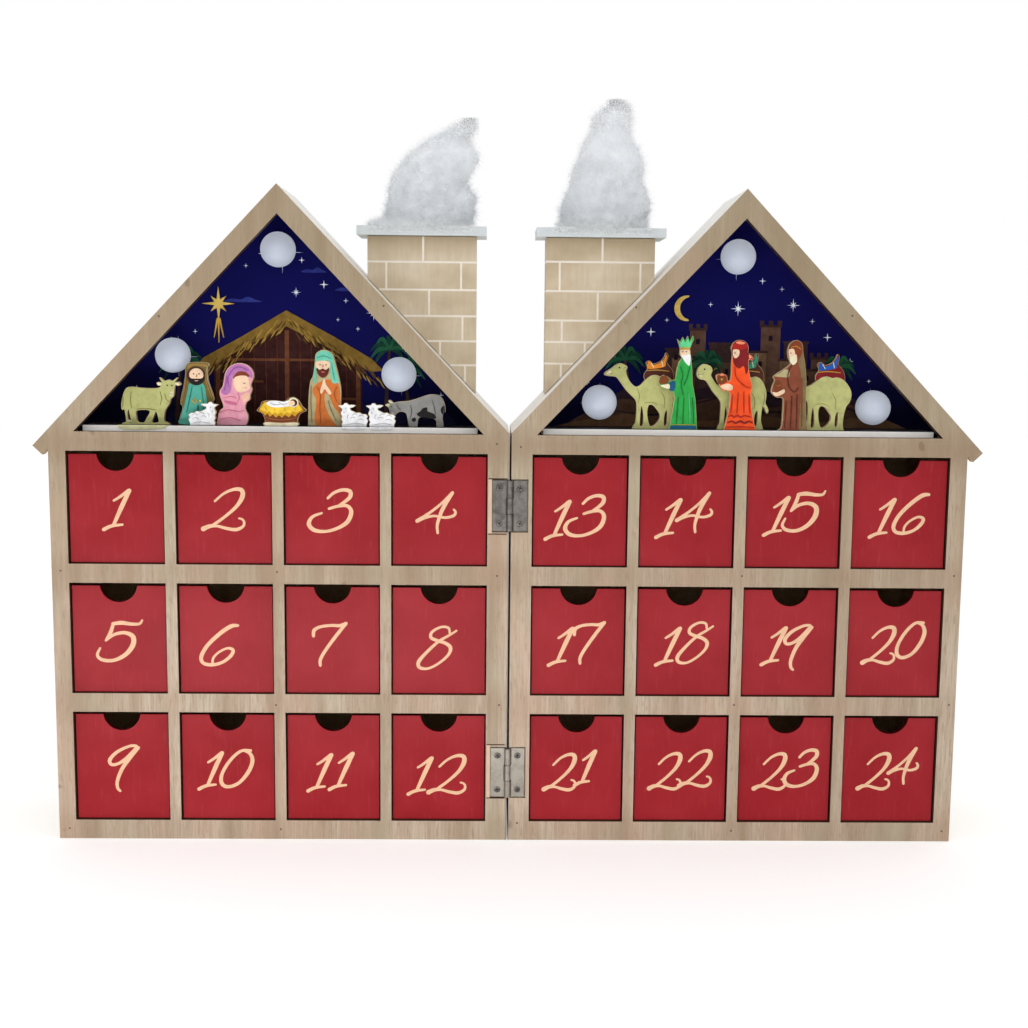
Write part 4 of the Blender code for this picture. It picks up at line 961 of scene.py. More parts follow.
MANGER = dict(
    outline=[
        (4, 0), (3.3, 1.2), (4.2, 2.6), (2.9, 6.2), (0.2, 7.6), (2, 9.8), (3.2, 12.2), (8.4, 12.6),
        (13.8, 12.2), (15.8, 13.9), (18.4, 14.3), (20.8, 12.8), (22.6, 9.8), (24.5, 7.8), (21.5, 6),
        (20.2, 2.6), (21, 1.2), (20.2, 0),
    ],
    base="basket",
    coats=[
        ("cream", [(4.1, 0.06), (20.1, 0.06), (20.8, 1.3), (19.8, 1.9), (4.6, 1.9), (3.6, 1.3)]),
        ("straw_dark", [
            (1.2, 7.6), (3.4, 6.4), (4.2, 5.2), (5.6, 6.2), (6.6, 4.6), (8.2, 5.8), (9.6, 4.2), (11.2, 5.4),
            (12.6, 4.2), (14.2, 5.6), (16, 4.4), (17.6, 6), (19, 4.8), (20.4, 6.4), (23.4, 7.8), (21.8, 10),
            (20, 12), (4, 12), (2.4, 10),
        ]),
        ("straw", [
            (1.8, 8.2), (4.2, 7.2), (5.4, 6.6), (6.4, 7.4), (7.8, 6), (9.2, 7), (10.6, 5.8), (12, 6.8),
            (13.6, 5.8), (15, 7), (16.6, 6.2), (18, 7.4), (19.8, 6.8), (22.4, 8.2), (20.4, 11.2),
            (4.2, 11.4),
        ]),
        ("white", curve([
            (5, 11), (6.6, 12.3), (10, 12.5), (13.6, 12), (16, 12.8), (18.6, 12.4), (18, 10.4), (13, 9.4),
            (8, 9.4),
        ])),
        ("cream", ellipse(18.2, 11.7, 2.6, 2.4)), ("umber", ellipse(18.4, 11.6, 1.9, 1.75)),
        ("skin", ellipse(17.7, 11.4, 1.35, 1.3)),
    ],
    lines=[
        (
            "basket_light", 0.3, [(4.6, 4.4), (8, 3.4), (12.2, 3), (16.4, 3.4), (19.8, 4.4)],
            [(4.4, 2.6), (8, 2), (12.2, 1.8), (16.4, 2), (19.8, 2.6)],
        ),
        ("grey_line", 0.3, [(7, 11.4), (9, 10.6), (11.8, 10.6)], [(11, 11.8), (13, 10.8), (15.4, 11.2)]),
        (
            "straw_dark", 0.3, [(4.2, 9.6), (5, 8.4), (4.8, 7.6)], [(19.6, 9.6), (19, 8.6), (19.4, 7.8)],
            [(8.6, 9), (9.2, 8), (9, 7.2)], [(13.6, 9), (14.2, 8), (14, 7.2)],
        ),
    ],
    dots=[("umber", 0.16, (17.3, 11.5), (18.1, 11.5))],
)
SHEPHERD = dict(
    outline=[
        (0.3, 0), (0.4, 6), (0.6, 13.6), (1.4, 21.6), (2.8, 24.6), (3.5, 28.6), (3.9, 32.4), (4.6, 36),
        (8.2, 37.7), (12.2, 36.2), (13.7, 32.4), (15.2, 26.4), (16.2, 21.8), (16.8, 17), (16.6, 9),
        (16.8, 0),
    ],
    base="tan",
    coats=[
        ("orange", curve([
            (4.2, 0.4), (16.2, 0.4), (16.2, 9), (16.3, 17), (14.8, 21.8), (10.2, 23), (5, 21), (2.6, 17.4),
            (4.4, 12.4),
        ])),
        ("tan", curve([
            (8.6, 15.4), (10.6, 15.4), (13, 9.8), (16.4, 5.2), (16.3, 0.6), (13.6, 1.2), (9.6, 8.2),
        ])),
        ("mint", curve([
            (4.4, 31.8), (5.2, 36), (8.2, 37.2), (12, 35.6), (13.3, 32), (14.6, 26.4), (15.6, 22),
            (12.6, 21.4), (11.6, 26), (11.2, 31.8), (7.6, 32.2),
        ])),
        ("mint", curve([(3.8, 29.6), (4.4, 30.4), (4.6, 26), (4.4, 21.8), (3, 21.8), (3.2, 25)])),
        ("skin", curve([(4.6, 31.8), (10.9, 31.8), (11, 28), (9.6, 26), (6.4, 26), (4.8, 28)])),
        ("beard", curve([
            (4.7, 28.8), (6.2, 27.8), (7.8, 28.4), (9.4, 27.8), (11, 28.8), (10.2, 25.4), (7.9, 23.8),
            (5.6, 25.4),
        ])),
        ("skin", curve([
            (7.4, 20.6), (8.6, 23.6), (9.4, 20.6), (12, 16.6), (10.8, 15.6), (8.8, 18.2), (7.2, 16),
            (6.4, 16.8),
        ])),
    ],
    lines=[
        ("mint_dark", 0.35, [(5, 33.6), (8, 34.6), (12, 33.4)]),
        ("mint_dark", 0.3, [(12.2, 31), (13, 26), (13.8, 22.6)]),
        (
            "orange_dark", 0.4, [(5, 19.4), (6.6, 15.6), (6.2, 9), (6.6, 1.4)],
            [(14.8, 19.6), (13.4, 16), (14.6, 12.2)],
        ),
        ("tan_dark", 0.4, [(10.4, 12.6), (11.8, 8), (14.4, 2.4)], [(2, 20), (1.8, 12), (2.2, 2)]),
        ("rose", 0.3, [(7.1, 26.9), (7.9, 26.6), (8.7, 26.9)]),
        ("hair", 0.25, [(7.8, 30.6), (8.1, 29.4), (7.5, 29.2)]),
    ],
    dots=[("black", 0.3, (6.5, 30.2), (9.4, 30.2))],
)
SHEEP = dict(
    outline=[
        (1, 0), (0.8, 1.4), (0.2, 3), (0.9, 4), (0.3, 5.2), (1.6, 6.3), (3, 6.2), (4.4, 7.1), (6, 6.9),
        (7.4, 7.6), (8.7, 8.2), (8.9, 9.3), (7.9, 9.4), (6.3, 10.5), (8.2, 10.9), (9.6, 10.8), (10.6, 11.6),
        (11.8, 11.6), (12.6, 10.7), (14.9, 10.4), (13.5, 9.3), (13, 8.4), (13.7, 6.4), (13.1, 5.2),
        (13.4, 3.6), (12.8, 2.4), (13.3, 1.2), (12.8, 0),
    ],
    base="white",
    coats=[("fleece", curve([(10.6, 9.6), (12.2, 9.6), (12.8, 7.6), (11.8, 6.4), (10.7, 7.6)]))],
    lines=[
        (
            "grey_line", 0.28, [(2.2, 5.2), (3.6, 5.8), (5, 5.2)], [(5.6, 6.2), (7, 6.4), (8, 5.6)],
            [(2.2, 3.2), (3.8, 3.9), (5.2, 3.2)], [(6.4, 4.4), (7.8, 4.8), (9, 4)],
            [(9.6, 6.2), (10.4, 5.2), (10.2, 4)], [(2.4, 1.2), (6, 1.8), (10.6, 1.2)],
        ),
    ],
    dots=[("black", 0.2, (11.2, 8.9)), ("grey_dark", 0.2, (12, 7))],
)
LOW_SHEEP = dict(
    SHEEP,
    mirrored=True,
    apron=("white", [(1, 0.1), (12.8, 0.1), (12.6, -1.2), (7, -1.3), (1.4, -1)]),
)
COW = dict(
    outline=[
        (12.2, 0), (11.3, 4.4), (10.4, 6.8), (7.4, 7.4), (5.4, 5.8), (4, 4.6), (2.6, 5.4), (2.4, 8),
        (1.6, 9.6), (0.2, 10.6), (1.4, 11.4), (2.6, 11.2), (1.8, 12.8), (3.2, 13), (4.4, 11.8), (6.8, 12.3),
        (12.6, 12.9), (17.8, 14.6), (22.2, 16), (26, 15.9), (28.7, 14.2), (30.2, 10), (30.1, 7.2),
        (29.3, 7.6), (28.8, 4.4), (29.2, 0), (26, 0), (25.4, 3.4), (21, 4.6), (17, 4.4), (16.2, 0),
    ],
    base="grey",
    coats=[
        ("black", curve([
            (16, 6.4), (17.6, 7.6), (19, 9.2), (21.2, 9.6), (21.4, 7.8), (24.6, 6.4), (25.6, 4.4),
            (23.8, 4), (20.6, 4.6), (17.4, 4.9),
        ])),
        ("black", curve([(13.4, 3.6), (15, 4.6), (15.6, 3.2), (14.4, 2.4)])),
        ("black", curve([(28, 9.2), (29.6, 10.6), (30, 8), (29.2, 6.2), (28.2, 7)])),
        ("olive_pale", curve([(0.6, 10.6), (1.6, 11.2), (2.6, 10.8), (1.8, 9.9)])),
        ("olive_pale", curve([(2, 12.6), (3, 12.8), (4.2, 11.8), (3.2, 11.6)])),
        ("grey_pale", curve([(2.8, 5.6), (4, 5), (5, 6.2), (4.2, 7.2), (3, 6.8)])),
    ],
    lines=[
        ("grey_dark", 0.35, [(12.8, 10.6), (13.4, 7.8), (12.8, 4)]),
        ("grey_dark", 0.3, [(5.8, 11.2), (6.8, 9.4), (8, 8.4)]),
        ("grey_dark", 0.35, [(29.4, 11), (29.5, 9), (29, 6)]),
        ("cream", 0.3, [(2, 12.6), (2.6, 12), (3.4, 11.6)]),
        ("grey_dark", 0.3, [(23.6, 13), (24.6, 9.6), (25.4, 6)]),
    ],
    dots=[("black", 0.3, (3.5, 9.9)), ("umber", 0.2, (3.6, 6.1))],
)
CAMEL = dict(
    outline=[
        (14.6, 0), (15.2, 1.6), (16.2, 3.6), (16.5, 11), (15.8, 14.4), (11.4, 18.8), (8, 23.4), (6, 25.6),
        (2.6, 26), (0.2, 26.6), (0.6, 28), (3.4, 29.8), (6, 31.8), (8.4, 32.4), (11, 31.2), (11.6, 30.2),
        (10.9, 28.6), (11.8, 25.4), (13.6, 22.6), (15.8, 20.9), (18, 21.5), (20.6, 24.3), (23.2, 26.3),
        (25.8, 26.8), (28.4, 26), (30.6, 26.4), (33.2, 25), (35.2, 21.8), (36.2, 17.6), (35.4, 13), (34, 9),
        (33.8, 4.5), (34.6, 1.4), (34.9, 0),
    ],
    holes=[
        [(18.9, 11.2), (19.9, 7), (19.8, 1.9), (18.3, 1.9)],
        [
            (22.4, 11.4), (24.4, 11.8), (26.2, 10.2), (28.2, 7.2), (27.8, 4.4), (25.4, 1.7), (23.2, 1.7),
            (21.9, 7),
        ],
        [(31.8, 9.2), (31.7, 2.6), (30.4, 1.9), (30.5, 7)],
    ],
    base="olive",
    coats=[("cream", curve([(1.2, 27), (2.8, 26.8), (3.6, 28.4), (2.4, 28.6)]))],
    lines=[
        (
            "olive_dark", 0.35, [(16.6, 20), (17.8, 16.6), (17.4, 12.6)],
            [(28.6, 18.4), (30.4, 14.8), (30.2, 10.6)],
        ),
        
        ("olive_dark", 0.3, [(9.4, 29.2), (10.4, 30.4), (11.2, 30)], [(2, 27.2), (3.6, 27.2), (4.6, 27.6)]),
        ("olive_dark", 0.35, [(20.4, 12.8), (24, 13.2), (27, 12)]),
        ("olive_dark", 0.4, [(35.2, 18), (35, 14), (34.2, 11.4)]),
    ],
    dots=[("black", 0.42, (7.6, 30.2))],
)
SHORT_CAMEL = dict(
    CAMEL,
    outline=[
        (12, 0), (12.4, 1.6), (13.2, 3.6), (13.5, 11), (12.9, 14.4), (9.2, 18.8), (6.8, 22.6), (5.2, 24.4),
        (2.7, 24.8), (1, 26.6), (1.3, 29.4), (2.6, 31.4), (4.8, 32.4), (7.8, 31.4), (8.9, 29.4), (8.2, 27),
        (9.4, 24.8), (11.2, 22.4), (14, 20.9), (17, 21.5), (20.2, 24.3), (23.2, 26.3), (25.8, 26.8),
        (28.4, 26), (30.6, 26.4), (33.2, 25), (35.2, 21.8), (36.2, 17.6), (35.8, 13.4), (36.9, 11.2),
        (37.4, 9), (36.5, 8.2), (35.6, 10.2), (34.6, 11.6), (34, 9), (33.8, 4.5), (34.6, 1.4), (34.9, 0),
    ],
    holes=[
        [(15.9, 11.2), (16.9, 7), (16.8, 1.9), (15.3, 1.9)],
        [
            (19.8, 11.4), (23.4, 11.8), (26.2, 10.2), (28.2, 7.2), (27.8, 4.4), (25.4, 1.7), (20.6, 1.7),
            (19.3, 7),
        ],
        [(31.8, 9.2), (31.7, 2.6), (30.4, 1.9), (30.5, 7)],
    ],
    coats=[("olive_pale", curve([(2, 26.4), (3.4, 25.8), (4, 27.2), (2.8, 27.8)]))],
    dots=[("black", 0.42, (4.9, 29.8))],
)
ROUND_CAMEL = dict(
    CAMEL,
    outline=[
        (14.6, 0), (15.2, 1.6), (16.2, 3.6), (16.5, 11), (15.8, 14.4), (13.4, 17.6), (14.6, 21), (18, 22.6),
        (20.6, 24.6), (23.2, 26.3), (25.8, 26.8), (28.4, 26), (30.6, 26.4), (33.8, 25.2), (36.6, 22.2),
        (38.2, 18.4), (37.6, 14.4), (36, 12.2), (35, 9), (34.4, 4.5), (34.6, 1.4), (34.9, 0),
    ],
    coats=[],
    lines=[
        ("olive_dark", 0.35, [(28.6, 18.4), (30.4, 14.8), (30.2, 10.6)],
         [(20.4, 12.8), (24, 13.2), (27, 12)]),
    ],
    dots=[],
)
# What a camel carries, and the bundle on it
PACK = [
    (20.6, 24), (19.9, 27), (21.6, 29.8), (20.8, 32.8), (22.6, 33.8), (24.4, 32.4), (27.4, 33.2),
    (29.6, 35.4), (30.6, 37.8), (31.8, 36.4), (31.2, 33), (33.4, 30.2), (34.6, 27.2), (34.2, 22.6),
    (28, 22), (24, 22),
]
BUNDLE = curve([
    (21.8, 29.8), (21.6, 33), (22.8, 33.4), (24.4, 31.8), (27.4, 32.6), (29.8, 34.8), (30.6, 36.8),
    (31.2, 35.8), (30.6, 33), (30.2, 31), (26, 30),
])
GREEN_KING = dict(
    outline=[
        (0.2, 0), (1.3, 7), (2.6, 15.6), (2, 18.4), (0, 19.6), (-3.4, 20.4), (-5, 21.6), (-5.2, 25.6),
        (-3.2, 27), (-0.9, 26), (-0.6, 23.6), (1.4, 24.4), (2.8, 24.8), (3.3, 29.8), (4.4, 33.4),
        (5.8, 35.4), (4.6, 37.2), (4.8, 39.6), (4.2, 42), (3.2, 44.6), (4.8, 43.2), (6, 45.6), (7.2, 43.4),
        (8.4, 46.2), (9.4, 43.2), (11, 46.4), (11.5, 44.6), (10.2, 41.6), (9.6, 39.6), (10.2, 36.2),
        (10.8, 31), (11.4, 22.4), (12.8, 15.8), (13.6, 7), (14, 0),
    ],
    straight=True,
    base="green",
    coats=[
        ("sea_blue", [(0.6, 0.3), (13.6, 0.3), (13.5, 2), (0.9, 2)]),
        ("skin", curve([(5, 39.4), (9, 39.6), (9.6, 37.4), (8, 35.2), (5.4, 36)])),
        ("white", curve([
            (5.6, 36.8), (7.4, 36.6), (9.6, 37.2), (10, 34.6), (9.4, 31.6), (7.6, 33), (6.2, 35),
        ])),
        ("green_light", [
            (4.9, 39.8), (4.6, 42.2), (3.9, 43.8), (5, 42.8), (6, 44.8), (7.2, 42.8), (8.4, 45.2),
            (9.3, 42.8), (10.6, 45.2), (10, 41.8), (9.3, 39.8),
        ]),
        ("gold", [(4.8, 39.4), (9.5, 39.4), (9.6, 40.5), (4.8, 40.5)]),
        ("sea_blue", curve([(-0.4, 19.9), (1.6, 19), (2.6, 20.4), (2.6, 23.6), (0.8, 23.8), (-0.4, 22.6)])),
        ("basket", curve([(-4.9, 22.6), (-4.9, 25.4), (-3.2, 26.7), (-1.2, 25.8), (-0.9, 23)])),
        ("cream", curve([(-4.7, 21.8), (-3.2, 20.8), (-0.3, 20.2), (-0.3, 22.4), (-2.6, 22.2)])),
    ],
    lines=[
        (
            "green_dark", 0.4, [(5, 31), (6.4, 27), (5.6, 22.6), (6.8, 17)],
            [(9.6, 31), (8.6, 26), (7, 22)], [(4.4, 16), (4, 9), (3.6, 3)], [(7.2, 16), (7, 9), (7, 3)],
        ),
        ("green_light", 0.4, [(9.4, 18), (10.2, 10), (10.4, 3)]),
        ("green_dark", 0.4, [(11.2, 16), (12, 9), (12.2, 3)]),
        ("gold", 0.3, [(1.2, 2.4), (7, 2.5), (13.4, 2.4)]),
    ],
    dots=[("black", 0.25, (6, 38.4), (7.8, 38.4))],
)
RED_KING = dict(
    outline=[
        (4.4, 0), (6, 7.2), (7, 14), (6.7, 18.8), (3, 19.6), (1.6, 22.4), (0.4, 24.6), (0.2, 27.2),
        (4.6, 27.4), (6, 24), (7.2, 26), (7.4, 33), (7.6, 37.6), (7, 40.4), (8, 43), (10.8, 44.4),
        (14.2, 43.4), (15.6, 40.6), (15.4, 38.2), (17.8, 36), (17.2, 34.6), (15.8, 34.6), (16, 29.8),
        (17.4, 23.6), (18, 21.4), (17.4, 18), (18.2, 8.8), (20.2, 0),
    ],
    base="red_orange",
    coats=[
        ("maroon", curve([
            (7.2, 39.6), (7.4, 41), (8.2, 43), (10.8, 44.2), (14.1, 43.2), (15.4, 40.6), (15.2, 38.4),
            (17.4, 36), (16.9, 34.9), (15.5, 34.9), (15.6, 30), (14.6, 27.6), (13.4, 31.6), (11, 30.4),
            (8.6, 32.4), (7.8, 36),
        ])),
        ("red_dark", curve([
            (7.6, 40.6), (8.6, 42.8), (10.8, 43.8), (13.9, 42.9), (15, 40.8), (12, 39.6), (9.4, 39.8),
        ])),
        ("rose", curve([(9.2, 43), (11, 43.8), (13.8, 42.9), (12, 42.2)])),
        ("skin", curve([(7.8, 39.4), (9.6, 39.8), (11, 39.2), (10.8, 36.8), (9.2, 35.4), (8, 36.6)])),
        ("rose", curve([(15.9, 37.4), (17.2, 36), (16.6, 35.3), (15.8, 35.6)])),
        ("skin", curve([(2.2, 21.8), (5.8, 23), (8.2, 21.6), (7.4, 19.6), (3.6, 20.2)])),
        ("basket", curve([(1, 22.8), (0.8, 26.8), (4.2, 27), (5.2, 23.8)])),
        ("rose", curve([(1.6, 26.9), (2.6, 28), (4, 27)])),
    ],
    lines=[
        (
            "red_dark", 0.45, [(9, 31), (9.8, 26), (14.4, 21.6), (16.8, 21)],
            [(8.2, 17.6), (7.8, 11), (7.4, 8.4)], [(11, 18.6), (10.8, 12), (10.6, 8.4)],
            [(13.8, 19), (14, 12), (14.2, 8.4)], [(16.4, 17.6), (16.8, 11), (17.2, 8.4)],
        ),
        ("red_dark", 0.8, [
            (6.4, 6.6), (8, 7.3), (9.2, 6.4), (11, 7.2), (12.6, 6.4), (14.4, 7.2), (17.6, 6.5),
        ]),
        ("maroon", 0.9, [
            (6.2, 3.6), (8.2, 4.4), (10.2, 3.5), (12.4, 4.4), (14.6, 3.5), (16.6, 4.4), (18.4, 3.7),
        ]),
        ("red_dark", 0.35, [(5.2, 1.4), (12, 1.7), (19.6, 1.4)]),
    ],
    dots=[("black", 0.28, (8.8, 38)), ("gold", 0.5, (2.6, 25))],
)
BROWN_KING = dict(
    outline=[
        (4, 0), (5.8, 2.2), (6.2, 14), (5.4, 16.2), (2.8, 16.4), (0.2, 18.8), (0.8, 22.6), (1.6, 24.6),
        (0.9, 26.6), (3, 28.4), (6.8, 30.8), (9.2, 33.2), (8.1, 35.8), (7.6, 39.4), (8.8, 43), (11.8, 44.6),
        (14.6, 42.8), (15.3, 38), (16.4, 32.8), (17.2, 25), (17.6, 9), (18.6, 0),
    ],
    base="brown",
    coats=[
        ("tan_dark", curve([
            (14.6, 38), (15, 38), (16.1, 32.6), (16.9, 25), (17.2, 9), (18, 0.4), (14.4, 0.4), (14.8, 14),
            (14.4, 28), (13, 33.6),
        ])),
        ("tan", curve([(1.4, 26.8), (3.2, 28), (6.8, 30.2), (8.6, 29), (8.4, 26.4), (5, 26.4)])),
        ("skin", curve([(8.1, 39.8), (10.4, 40.2), (11.2, 37.4), (10.2, 35), (8.6, 35.4)])),
        ("hair", curve([
            (8.2, 40.2), (9.2, 42.8), (11.8, 44.1), (14.2, 42.4), (14.6, 38.6), (12.8, 35.4), (11.4, 36),
            (11, 39.6), (9.6, 40.4),
        ])),
        ("cream", curve([(8.6, 36.2), (10.4, 36.6), (11.8, 37.6), (12.2, 34.2), (10.4, 32.4), (8.9, 34)])),
        ("basket", curve([(1.4, 20.4), (1.6, 24.2), (4.6, 24), (5, 20.4), (3.2, 19.4)])),
        ("skin", curve([(0.6, 19), (2.8, 18.8), (6.2, 20.4), (6.4, 18.6), (3.2, 16.9), (1.4, 17.6)])),
    ],
    lines=[
        (
            "brown_dark", 0.45, [(9.6, 32), (8, 28), (8.6, 22), (11.6, 19), (13.4, 21.6)],
            [(7.6, 14.6), (7.4, 8), (7.2, 1.4)], [(10.2, 17), (10.2, 9), (10, 1.4)],
            [(12.8, 18), (13, 10), (13, 1.4)],
        ),
        ("gold", 0.35, [(9, 41), (11.4, 41.6), (14, 40.2)]),
        ("basket_light", 0.3, [(1.8, 22.6), (3.2, 22), (4.7, 22.6)]),
        ("hair", 0.4, [(15, 26), (15.4, 14), (15.6, 2)]),
    ],
    dots=[("black", 0.25, (9, 38.2))],
)


# How far the paint stays inside the wood's edge, and how far in a point keeps the feet's corners flat
PAINT_RIM = 0.16
PACK_RIM = 0.14
FOOT_INSET = 0.9
# How far a lip may hang down over the scene board's front
LIP_REACH = 3


def figure(side, name, left, row, drawing):
    """A cut-out figure: a plywood body, coats of paint and fine lines, standing on the scene board."""
    outline = drawing["outline"]
    sides = [x for x, z in outline]
    width = max(sides) + max(min(sides), 0)
    back = row + COAT / 2

    def place(points, lowest=0):
        """The drawing's points where the figure stands, mirrored if the drawing says so."""
        if drawing.get("mirrored"):
            points = [(width - x, z) for x, z in points]
        return [(left + x, SCENE_TOP + max(z, lowest)) for x, z in points]

    if not drawing.get("straight"):
        first, last = outline[0], outline[-1]
        outline = curve([(first[0] + FOOT_INSET, first[1])] + outline + [(last[0] - FOOT_INSET, last[1])], 3)
    holes = [place(curve(hole, 3)) for hole in drawing.get("holes", [])]
    wood = Piece(side + "_" + name + "_wood")
    body = place(outline)
    wood.prism(body, row, row + FIGURE_THICKNESS, MATERIALS["cut_edge"], holes)
    wood.finish(side + "_half", "figure_wood", [side + "_nativity_scene"], 0.12)
    coat = Piece(side + "_" + name + "_paint")
    grown = [inset(hole, -PAINT_RIM) for hole in holes]
    level = row
    coat.prism(inset(body, PAINT_RIM), level - COAT, level + COAT, paint(drawing["base"]), grown)
    for colour, ring in drawing["coats"]:
        level -= COAT_STEP
        coat.prism(place(ring), level - COAT, back, paint(colour))
    level -= COAT_STEP
    for colour, thick, *paths in drawing["lines"]:
        widths = (thick * 0.6, thick, thick * 0.6)
        for points in paths:
            coat.stroke(place(points), widths, level - COAT, back, paint(colour), 4)
    for colour, radius, *places in drawing["dots"]:
        for x, z in place(places):
            coat.prism(ellipse(x, z, radius, radius, 12), level - COAT_STEP, back, paint(colour))
    coat.finish(side + "_half", "figure_wood")
    if "apron" in drawing:
        colour, ring = drawing["apron"]
        lip = Piece(side + "_" + name + "_lip")
        lip.prism(place(ring, -LIP_REACH), FRAME_THICKNESS - 0.2, FRAME_THICKNESS + GAP, paint(colour))
        lip.finish(side + "_half", "figure_wood")


def camel(name, left, pack_low, pack_high, drawing=CAMEL):
    """A laden camel: its rug and bundle are painted on the part of the cut-out above its hump."""
    figure("right", name, left, BACK_ROW, drawing)
    row = BACK_ROW + 0.4

    def place(points):
        return [(left + x, SCENE_TOP + z) for x, z in points]

    rug = Piece("right_" + name + "_pack_wood")
    body = place(curve(PACK, 3))
    rug.prism(body, row, row + FIGURE_THICKNESS - 0.8, MATERIALS["cut_edge"])
    rug.finish("right_half", "figure_wood", ["right_nativity_scene"], 0.1)
    coat = Piece("right_" + name + "_pack_paint")
    level = row - COAT
    coat.prism(inset(body, PACK_RIM), level, row + COAT, paint(pack_low))
    level -= COAT_STEP
    coat.prism(place(BUNDLE), level, row + COAT, paint(pack_high))
    strap = place([(21.4, 28.8), (26.6, 29.2), (32.4, 28.6)])
    coat.stroke(strap, (0.3, 0.45, 0.3), level, row + COAT, paint("gold"), 4)
    level -= COAT_STEP
    for tie in ([(23.4, 32.6), (24.6, 30.6)], [(28.6, 33.6), (29.2, 31.0)]):
        coat.stroke(place(tie), (0.35, 0.35), level, row, paint("cream"), 1)
    coat.finish("right_half", "figure_wood")


def scene_board(side):
    """The white board that the figures stand on."""
    board = Piece(side + "_scene_board")
    left = SIDES[side] * GABLE_MIDDLE - SCENE_HALF
    low = (left, FRAME_THICKNESS + GAP, ATTIC_TOP + GAP)
    high = (left + 2 * SCENE_HALF, BACKDROP_FRONT - GAP, SCENE_TOP)
    board.box(low, high, MATERIALS["board_white"])
    board.finish(side + "_half", "figure_wood", [side + "_nativity_scene"], 0.3)


class Backdrop(Piece):
    """A gable's printed backdrop; x is measured from the gable's middle, and z from the scene board."""

    def __init__(self, side):
        super().__init__(side + "_backdrop_print")
        self.middle = SIDES[side] * GABLE_MIDDLE
        self.base = SCENE_TOP + 0.1

    def put(self, points):
        return [(self.middle + x, self.base + z) for x, z in points]

    def shape(self, points, layer, colour, back=BACKDROP_FRONT):
        self.prism(self.put(points), layer, back, paint(colour))

    def line(self, points, widths, layer, colour, steps, back=BACKDROP_FRONT):
        self.stroke(self.put(points), widths, layer, back, paint(colour), steps)

    def star(self, x, z, reach, rays, waist=0.20):
        """A white star; where it has more than four rays, every other one is short."""
        ring = []
        for step in range(rays * 2):
            turn = math.pi * step / rays + math.pi / 2
            radius = reach if rays == 4 or step % 4 == 0 else reach * 0.62
            if step % 2:
                radius = reach * waist
            ring.append((x + radius * math.cos(turn), z + radius * math.sin(turn)))
        self.shape(ring, BACKDROP_FRONT - COAT, "star_white", BACKDROP_FRONT + COAT)

    def stars(self, places, side):
        """The sky's stars, and the fine rays round each globe."""
        for x, z, reach, rays in places:
            self.star(x, z, reach, rays)
        for x, z in GLOBES[side]:
            self.star(x + 0.8 - self.middle, z - 0.8 - self.base, 10.4, 4, 0.05)

    def palm(self, x, low, high, lean, reach, depth):
        """A palm: trunk and a crown of drooping fronds."""
        top = (x + lean, high)
        trunk = [(x, low), (x + lean * 0.3, (low + high) / 2), top]
        self.line(trunk, (2.4, 1.7, 1.3), depth, "trunk", 6, depth + COAT_STEP * 2)
        for number, angle in enumerate((-35, -5, 25, 60, 95, 130, 165, 195, 220)):
            across = reach * math.cos(math.radians(angle))
            up = reach * math.sin(math.radians(angle))
            middle = (top[0] + across * 0.55, high + up * 0.5 + reach * 0.12)
            tip = (top[0] + across, high + up * 0.75 - reach * 0.30)
            colour = "palm_light" if number % 2 else "palm"
            level = depth - COAT_STEP * (1 + number % 2)
            self.line([top, middle, tip], (0.9, 2.3, 0.4), level, colour, 5, depth + COAT)

    def house(self, left, right, low, high, layer, colour):
        """A flat-roofed house with a darker eave."""
        self.shape(rectangle(left, right, low, high), layer, colour)
        self.shape(rectangle(left - 0.7, right + 0.7, high - 1.2, high), layer - COAT_STEP / 2, "town_dark")

    def arch_window(self, x, z, layer):
        """A narrow window with a round top."""
        half = 0.95
        ring = [(x - half, z), (x + half, z)]
        for step in range(9):
            turn = math.pi * step / 8
            ring.append((x + half * math.cos(turn), z + 1.8 + half * math.sin(turn)))
        self.shape(ring, layer - COAT, "window", layer + COAT)


STABLE_STARS = (
    (-58, 40, 3.4, 8), (44, 56, 3.8, 8), (19, 70, 2.2, 4), (8, 82, 1.6, 4), (-12, 85, 1.8, 4),
    (60, 38.5, 2.0, 4), (-76, 17, 1.8, 4), (30, 62, 1.4, 4), (-46, 46, 1.3, 4), (5, 66, 2.6, 8),
    (78, 15, 1.6, 4), (26, 52.5, 1.1, 4), (-20, 79, 1.2, 4), (36, 48, 1.2, 4),
)
TOWN_STARS = (
    (30, 62, 3.4, 8), (2, 60, 3.8, 8), (14, 74, 1.8, 4), (-42, 48, 2.4, 4), (48, 46, 2.2, 4),
    (-12, 62, 1.4, 4), (24, 70, 1.3, 4), (-60, 36, 1.6, 4), (60, 34, 1.8, 4), (40, 54, 1.4, 4),
    (4, 90, 1.4, 4), (-34, 54, 1.2, 4), (70, 24, 1.2, 4), (-74, 22, 1.4, 4),
)


